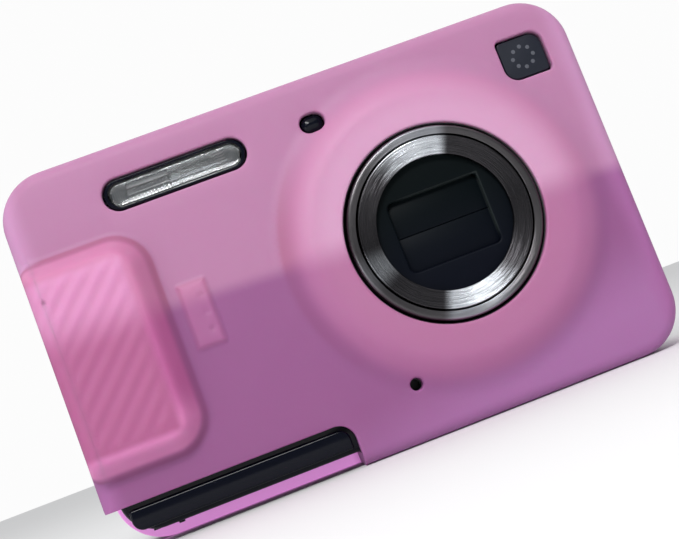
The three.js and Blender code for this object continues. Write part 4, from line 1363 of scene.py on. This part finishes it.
def make_spring():
    """The shutter button's spring: a wire wound as a helix."""
    spring = Span("shutter_spring")
    wire, margin = 0.2, 0.25
    coil = spring.size.x / 2 - wire
    turns, sides, steps = 3.5, 10, 140
    made = Surface()
    rows = []
    for k in range(steps + 1):
        t = k / steps
        a = 2 * math.pi * turns * t
        z = spring.lo.z + margin + (spring.size.z - 2 * margin) * t
        start = len(made.points)
        for j in range(sides):
            b = 2 * math.pi * j / sides
            r = coil + wire * math.cos(b)
            x, y = spring.mid.x + r * math.cos(a), spring.mid.y + r * math.sin(a)
            made.points.append((x, y, z + wire * math.sin(b)))
        rows.append(list(range(start, len(made.points))))
    made.bridge_all(rows)
    made.faces += [tuple(rows[0]), tuple(reversed(rows[-1]))]
    wound = made.piece("shutter_spring_coil", facing_up)
    dressed(wound, "steel", ROOT, "shutter_spring")
    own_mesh(wound)


def rear_mark(name, outline, face, body, slot):
    """A thin printed mark that stands just proud of a rear face."""
    mark = plate(name, outline, face, face - 0.06, 0.02, steps=1)
    dressed(mark, slot, body, look="printed_mark")


def make_rear_buttons():
    marks = {
        "playback_button": lambda x, z: circle(0.7, x, z, arc=1),
        "menu_button": lambda x, z: stadium(1.8, 0.5, x, z, arc=4),
        "delete_button": lambda x, z: Outline(1.1, 1.3, 0.3, x, z, arc=3),
    }
    for name in REAR_BUTTONS:
        span = Span(name)
        centre = (span.mid.x, span.mid.z)
        r = span.size.x / 2 - CAP_FOOT
        back, foot_top = span.hi.y, span.lo.y + 0.7
        profile = [
            (0, back - 0.06, 0),
            (r * 0.6, back - 0.12, 0),
            (r, back - 0.3, 0.25),
            (r, foot_top, 0),
            (r + CAP_FOOT, foot_top, 0.1),
            (r + CAP_FOOT, span.lo.y, 0.1),
            (0, span.lo.y, 0),
        ]
        cap = turned(name + "_cap", profile, centre, 72, closed=False)
        dressed(cap, "record_red" if name == "record_button" else "grey_plastic", name, name)
        if name in marks:
            rear_mark(name + "_mark", marks[name](*centre), back, name, "grey_plastic")


def make_four_way(round_copies):
    """The tilting ring with its four marks, and the set button in its middle."""
    centre = (RING.mid.x, RING.mid.z)
    r, hub, hole = RING.size.x / 2, 6.0, 4.6
    back = RING.hi.y
    profile = [
        (hole, RING.lo.y, 0.1),
        (hub, RING.lo.y, 0.1),
        (hub, back - 1.1, 0.1),
        (r, back - 1.1, 0.15),
        (r, back - 0.5, 0.3),
        (r - 0.9, back, 0.5),
        (hole + 1.0, back - 0.35, 0.8),
        (hole, back - 0.75, 0.3),
    ]
    ring = turned("four_way_ring_cap", profile, centre, 128)
    dressed(ring, "grey_plastic", "four_way_ring", "four_way_ring")
    dots = plate("four_way_marks", circle(0.32, arc=4), 0.0, 0.06, 0.02, place=facing_up, steps=1)
    place = (RING.mid.x, back - 0.05, RING.mid.z)
    repeated(dots, round_copies, "printed_mark", place, -QUARTER, Copies=4, Radius=7.2)
    dressed(dots, "grey_plastic", "four_way_ring", look="printed_mark")
    r, back = SET.size.x / 2, SET.hi.y
    profile = [
        (0, back - 0.25, 0),
        (r * 0.5, back - 0.2, 0.4),
        (r - 0.3, back, 0.25),
        (r, back - 0.4, 0.2),
        (r, SET.lo.y, 0.1),
        (0, SET.lo.y, 0),
    ]
    cap = turned("set_button_cap", profile, (SET.mid.x, SET.mid.z), 96, closed=False)
    dressed(cap, "grey_plastic", "set_button", "set_button")


def make_rocker():
    outline = Outline(ROCKER.size.x, ROCKER.size.z, 2.4, ROCKER.mid.x, ROCKER.mid.z, arc=10)
    key = plate("rocker_plate", outline, ROCKER.hi.y, ROCKER.hi.y - 1.2, 0.4, steps=5)
    top, r = ROCKER.hi.y - 0.9, 3.4
    profile = [(0, top, 0), (r, top, 0), (r, ROCKER.lo.y, 0.2), (0, ROCKER.lo.y, 0)]
    hub = turned("rocker_hub", profile, (ROCKER.mid.x, ROCKER.mid.z), 48, closed=False)
    rocker = join("zoom_rocker_key", [key, hub])
    dressed(rocker, "grey_plastic", "zoom_rocker", "zoom_rocker")


def make_back_details(grid):
    """The thumb rest's dots, the screen's window and the status lamp."""
    bead = [(0, 0.3, 0), (0.22, 0.24, 0), (0.42, 0.08, 0), (0.46, 0, 0), (0, 0, 0)]
    dots = turned("thumb_rest_dots", bead, (0, 0), 14, facing_up, closed=False)
    place = (-39.2, CASE_REAR.hi.y - 0.02, 37.6)
    repeated(dots, grid, "black_matt", place, -QUARTER, Columns=5, Rows=3, Width=6.0, Height=3.0)
    dressed(dots, "black_matt", ROOT)
    outline = Outline(SCREEN.size.x, SCREEN.size.z, 1.3, SCREEN.mid.x, SCREEN.mid.z, arc=8)
    glass = plate("lcd_window_glass", outline, SCREEN.hi.y, SCREEN.lo.y, 0.2)
    dressed(glass, "screen", ROOT, "lcd_window")
    rear_mark("status_lamp", circle(0.5, -17.5, 48.4, arc=6), CASE_REAR.hi.y + 0.06, ROOT, "grey_plastic")


# ---------------------------------------------------------------- base, side and inside
OUTSIDE = (
    ("battery_door", "battery_door", "black_gloss", 0.15),
    ("door_latch", "door_latch", "grey_plastic", 0.1),
    ("door_hinge_pin", ROOT, "steel", 0.08),
    ("tripod_nut", ROOT, "brass", 0.2),
    ("case_screw_1", ROOT, "steel", 0.08),
    ("case_screw_2", ROOT, "steel", 0.08),
    ("port_cover", "port_cover", "grey_plastic", 0.2),
    ("port_socket", ROOT, "steel", 0.15),
    ("strap_lug", ROOT, "steel", 0.25),
)
INSIDE = {
    "board": ("button_board", "main_board"),
    "brass": ("battery_contacts",),
    "black_matt": ("flash_capacitor", "microphone", "speaker"),
    "grey_plastic": ("battery", "memory_card"),
    "screen": ("image_sensor",),
    "steel": ("card_slot", "chassis_plate", "lcd_panel", "sensor_plate", "zoom_motor"),
}
MOVING_INSIDE = (
    ("cam_ring", "cam_ring", "grey_plastic"),
    ("focus_carriage", "focus_group", "grey_plastic"),
    ("four_way_pivot", "four_way_pivot", "black_matt"),
    ("motor_pinion", "motor_pinion", "brass"),
    ("shutter_unit", "inner_barrel", "black_matt"),
)


def make_inside():
    for slot, nodes in INSIDE.items():
        for node in nodes:
            refined(node, ROOT, slot, 0.15)
    for node, body, slot in MOVING_INSIDE:
        refined(node, body, slot, 0.08)


# ---------------------------------------------------------------- settings
def amount_property(name, description, value):
    return FloatProperty(name=name, description=description, default=value, min=0.0)


class SleeveShape(bpy.types.PropertyGroup):
    """Sizes of the silicone sleeve, in millimetres."""

    edge: amount_property("Edge", "Radius of the sleeve's outer edges", 2.2)
    lean: amount_property("Lean", "How far the side leans in for each mm of rise", 0.16)
    ring_rise: amount_property("Ring rise", "Height of the ring round the lens", 2.5)
    ring_plateau: amount_property("Ring top", "Radius of the ring's flat top", 20.4)
    ring_base: amount_property("Ring base", "Radius where the ring meets the sheet", 27.3)
    grip_flank: amount_property("Grip flank", "Width of the grip's sloping side", 4.2)
    panel_rise: amount_property("Panel rise", "How far the ridged panel stands up", 0.3)
    tab_rise: amount_property("Tab rise", "How far the small tab stands up", 0.45)
    ridge_depth: amount_property("Ridge depth", "Depth of the grip's grooves", 0.14)


def colour_property(name, description, value):
    return FloatVectorProperty(
        name=name, description=description, default=value, subtype="COLOR", size=3, min=0.0, max=1.0
    )


class SleeveLooks(bpy.types.PropertyGroup):
    """Colours of the silicone, lighter where it is thick, with painted light and shade: lit copies above the
    painted shadow line and shaded copies under it.
    """

    # Painted light: the sheet painted lit above the shadow line and painted in shade under it.
    sheet_lit: colour_property("Sheet, loose", "Thin sheet that stands off the case", (0.405, 0.185, 0.325))
    sheet_shaded: colour_property("Sheet, clinging", "Thin sheet that clings to the case", (0.26, 0.087, 0.228))
    foot_colour: colour_property("Sheet, foot", "Thin sheet near the bottom edge", (0.345, 0.143, 0.335))
    # Painted highlight on the ring's top towards the lens, painted shade on its outer slope.
    ring_high: colour_property("Ring, upper", "Ring's inner edge above the lens", (0.56, 0.3, 0.46))
    ring_low: colour_property("Ring, lower", "Ring's inner edge under the lens", (0.395, 0.15, 0.29))
    slope_high: colour_property("Slope, upper", "Outer slope of the ring and the tab", (0.465, 0.19, 0.34))
    slope_low: colour_property("Slope, lower", "Outer slope of the ring and the tab", (0.36, 0.125, 0.28))
    # Painted shade in the crease at the foot of the ring and the grip.
    crease_high: colour_property("Crease, upper", "Foot of the ring and the grip", (0.34, 0.1, 0.19))
    crease_low: colour_property("Crease, lower", "Foot of the ring and the grip", (0.23, 0.065, 0.175))
    panel_high: colour_property("Grip panel, upper", "Ridged panel, upper part", (0.6, 0.25, 0.45))
    panel_low: colour_property("Grip panel, lower", "Ridged panel, lower part", (0.385, 0.108, 0.24))
    # Painted shade on the grip's rounded flank.
    band_high: colour_property("Grip edge, upper", "Rounded edge of the grip", (0.52, 0.19, 0.345))
    band_low: colour_property("Grip edge, lower", "Rounded edge of the grip", (0.42, 0.105, 0.27))
    band_foot: colour_property("Grip edge, foot", "Rounded edge under the ridges", (0.62, 0.22, 0.44))
    # Painted highlight along the rolled edges.
    edge_high: colour_property("Outer edge, upper", "Rolled edges of the sleeve", (0.49, 0.25, 0.43))
    edge_low: colour_property("Outer edge, lower", "Rolled edges of the sleeve", (0.34, 0.122, 0.31))
    side_high: colour_property("Side, upper", "Side walls and back, upper part", (0.5, 0.25, 0.44))
    side_low: colour_property("Side, lower", "Side walls and back, lower part", (0.42, 0.17, 0.38))
    # Painted glow at the cut edge under the trim, which is no lamp.
    painted_glow: colour_property("Cut edge", "Light gathered at the cut edge under the trim", (0.5, 0.2, 0.48))
    # Height of the painted shadow line, in mm; under it the rubber is painted in shade.
    painted_shadow_line: amount_property("Cling line", "Height under which it clings, in mm", 32.2)


class LensShape(bpy.types.PropertyGroup):
    """Sizes of the lens trim and the flash, in millimetres."""

    dish: amount_property("Dish", "How far the inner ring's face slopes in, in mm", 0.35)
    turning_depth: amount_property("Turning depth", "Depth of the lathe's fine lines", 0.012)
    prism_columns: IntProperty(name="Prism columns", description="Columns of prisms in the flash", default=12)
    prism_rows: IntProperty(name="Prism rows", description="Rows of prisms in the flash", default=3)


def power_property(name, description, value):
    return FloatProperty(name=name, description=description, default=value, min=0.0, unit="POWER")


class StageLooks(bpy.types.PropertyGroup):
    """The floor, the lights and the camera."""

    floor_colour: colour_property("Floor", "Colour of the floor and the backdrop", (0.78, 0.78, 0.78))
    ceiling: amount_property("Ceiling", "Strength of the wide light overhead", 1.8)
    key_power: power_property("Key light", "Power of the softbox above", 3.0)
    side_power: power_property("Side light", "Power of the low left light", 0.3)
    sky: amount_property("Surroundings", "Strength of the even light all round", 0.22)
    backdrop: amount_property("Backdrop", "Brightness of the backdrop", 1.25)
    focal: amount_property("Focal length", "Lens of the camera, in mm", 64.15)


# ---------------------------------------------------------------- operators
class SLEEVED_OT_sleeve(bpy.types.Operator):
    """Make the silicone sleeve"""

    bl_idname = "sleeved.sleeve"
    bl_label = "Silicone sleeve"

    def execute(self, context):
        make_sleeve(context.scene.sleeve_shape)
        return {"FINISHED"}


class SLEEVED_OT_covers(bpy.types.Operator):
    """Make the camera's covers, top panel and trim strip"""

    bl_idname = "sleeved.covers"
    bl_label = "Covers and trim"

    def execute(self, context):
        make_front_cover()
        make_rear_cover()
        make_trim()
        return {"FINISHED"}


class SLEEVED_OT_lens(bpy.types.Operator):
    """Make the barrels, the disc, the blades and the glass of the lens"""

    bl_idname = "sleeved.lens"
    bl_label = "Lens"

    def execute(self, context):
        make_lens(context.scene.lens_shape)
        return {"FINISHED"}


class SLEEVED_OT_flash(bpy.types.Operator):
    """Make the flash, the focus lamp and the badge"""

    bl_idname = "sleeved.flash"
    bl_label = "Flash, lamp and badge"

    def execute(self, context):
        make_flash(context.scene.lens_shape, grid_tree())
        make_front_details(circle_tree())
        return {"FINISHED"}


class SLEEVED_OT_buttons(bpy.types.Operator):
    """Make the buttons, the four-way ring, the rocker and the screen"""

    bl_idname = "sleeved.buttons"
    bl_label = "Buttons and screen"

    def execute(self, context):
        make_top_buttons()
        make_spring()
        make_rear_buttons()
        make_four_way(circle_tree())
        make_rocker()
        make_back_details(grid_tree())
        return {"FINISHED"}


class SLEEVED_OT_base(bpy.types.Operator):
    """Finish the battery door, the tripod nut, the port cover and the strap lug"""

    bl_idname = "sleeved.base"
    bl_label = "Base and side"

    def execute(self, context):
        for row in OUTSIDE:
            refined(*row)
        return {"FINISHED"}


class SLEEVED_OT_inside(bpy.types.Operator):
    """Finish the boards, the motor, the battery and the other pieces inside"""

    bl_idname = "sleeved.inside"
    bl_label = "Inside"

    def execute(self, context):
        make_inside()
        return {"FINISHED"}


def area_light(name, power, size, at, toward):
    light = bpy.data.lights.new(name, "AREA")
    light.shape = "RECTANGLE"
    light.size, light.size_y = size
    light.energy = power
    obj = linked(name, light)
    obj.location = at
    obj.rotation_euler = (Vector(toward) - Vector(at)).to_track_quat("-Z", "Y").to_euler()


def make_floor(looks):
    reach, level = 12.0, -1e-4
    mesh = bpy.data.meshes.new("floor")
    corners = [(-reach, -reach), (reach, -reach), (reach, reach), (-reach, reach)]
    mesh.from_pydata([(x, y, level) for x, y in corners], [], [(0, 1, 2, 3)])
    r = Recipe("floor", Roughness=0.8)
    cloud = r.noise(400.0, 2.0, 0.5)
    darker = tuple(0.96 * c for c in looks.floor_colour)
    r.set("Base Color", r.mix(cloud, rgb(*looks.floor_colour), rgb(*darker)))
    mesh.materials.append(r.material)
    linked("floor", mesh)


def make_lights(looks):
    """A wide light overhead, a softbox up in front and a low one on the left."""
    ceiling = bpy.data.lights.new("ceiling", "SUN")
    ceiling.energy = looks.ceiling
    ceiling.angle = math.radians(110)
    linked("ceiling", ceiling)
    centre = (0.0, 0.0, MID_Z * MM)
    area_light("key_softbox", looks.key_power, (0.24, 0.16), (-0.1, -0.52, 0.42), centre)
    area_light("side_softbox", looks.side_power, (0.2, 0.06), (-0.42, -0.36, 0.035), (-0.02, 0.0, 0.01))


CAMERA_PLACE = (-0.01793, -0.1984, 0.0123)
CAMERA_TURN = (95.693, 20.9, -3.16)


def make_camera(looks):
    """A close view from a little low on the left, rolled as a hand holds a camera."""
    data = bpy.data.cameras.new("camera")
    data.sensor_width = 36.0
    data.lens = looks.focal
    data.clip_start = 0.01
    camera = linked("camera", data)
    camera.location = CAMERA_PLACE
    camera.rotation_euler = [math.radians(a) for a in CAMERA_TURN]
    return camera


def surroundings(looks):
    """An even dim room that shows as a pale backdrop behind the object."""
    world = bpy.data.worlds.new("surroundings")
    world.use_nodes = True
    nodes, links = world.node_tree.nodes, world.node_tree.links
    room = nodes["Background"]
    room.inputs["Color"].default_value = (0.94, 0.96, 1.0, 1.0)
    room.inputs["Strength"].default_value = looks.sky
    backdrop = nodes.new("ShaderNodeBackground")
    backdrop.inputs["Color"].default_value = rgb(*looks.floor_colour)
    backdrop.inputs["Strength"].default_value = looks.backdrop
    seen = nodes.new("ShaderNodeLightPath")
    either = nodes.new("ShaderNodeMixShader")
    links.new(seen.outputs["Is Camera Ray"], either.inputs["Fac"])
    links.new(room.outputs[0], either.inputs[1])
    links.new(backdrop.outputs[0], either.inputs[2])
    links.new(either.outputs[0], nodes["World Output"].inputs["Surface"])
    return world


class SLEEVED_OT_stage(bpy.types.Operator):
    """Make the floor, the lights and the camera"""

    bl_idname = "sleeved.stage"
    bl_label = "Stage"

    def execute(self, context):
        looks = context.scene.stage_looks
        make_floor(looks)
        make_lights(looks)
        context.scene.world = surroundings(looks)
        context.scene.view_settings.view_transform = "Standard"
        context.scene.camera = make_camera(looks)
        return {"FINISHED"}


STEPS = (
    SLEEVED_OT_stage,
    SLEEVED_OT_sleeve,
    SLEEVED_OT_covers,
    SLEEVED_OT_lens,
    SLEEVED_OT_flash,
    SLEEVED_OT_buttons,
    SLEEVED_OT_base,
    SLEEVED_OT_inside,
)


class SLEEVED_PT_panel(bpy.types.Panel):
    """Lists the sizes, the colours and the steps"""

    bl_idname = "SLEEVED_PT_panel"
    bl_label = "Sleeved Camera"
    bl_space_type = "VIEW_3D"
    bl_region_type = "UI"
    bl_category = "Camera"

    def draw(self, context):
        for name in SETTINGS:
            box = self.layout.box()
            group = getattr(context.scene, name)
            for prop in type(group).__annotations__:
                box.prop(group, prop)
        for step in STEPS:
            self.layout.operator(step.bl_idname)


SETTINGS = {
    "sleeve_shape": SleeveShape,
    "sleeve_looks": SleeveLooks,
    "lens_shape": LensShape,
    "stage_looks": StageLooks,
}


def register():
    for name, group in SETTINGS.items():
        bpy.utils.register_class(group)
        setattr(bpy.types.Scene, name, PointerProperty(type=group))
    for step in STEPS:
        bpy.utils.register_class(step)
    bpy.utils.register_class(SLEEVED_PT_panel)


def unregister():
    bpy.utils.unregister_class(SLEEVED_PT_panel)
    for step in reversed(STEPS):
        bpy.utils.unregister_class(step)
    for name, group in SETTINGS.items():
        delattr(bpy.types.Scene, name)
        bpy.utils.unregister_class(group)


def main():
    register()
    for step in STEPS:
        space, action = step.bl_idname.split(".")
        getattr(getattr(bpy.ops, space), action)()


if __name__ == "__main__":
    main()
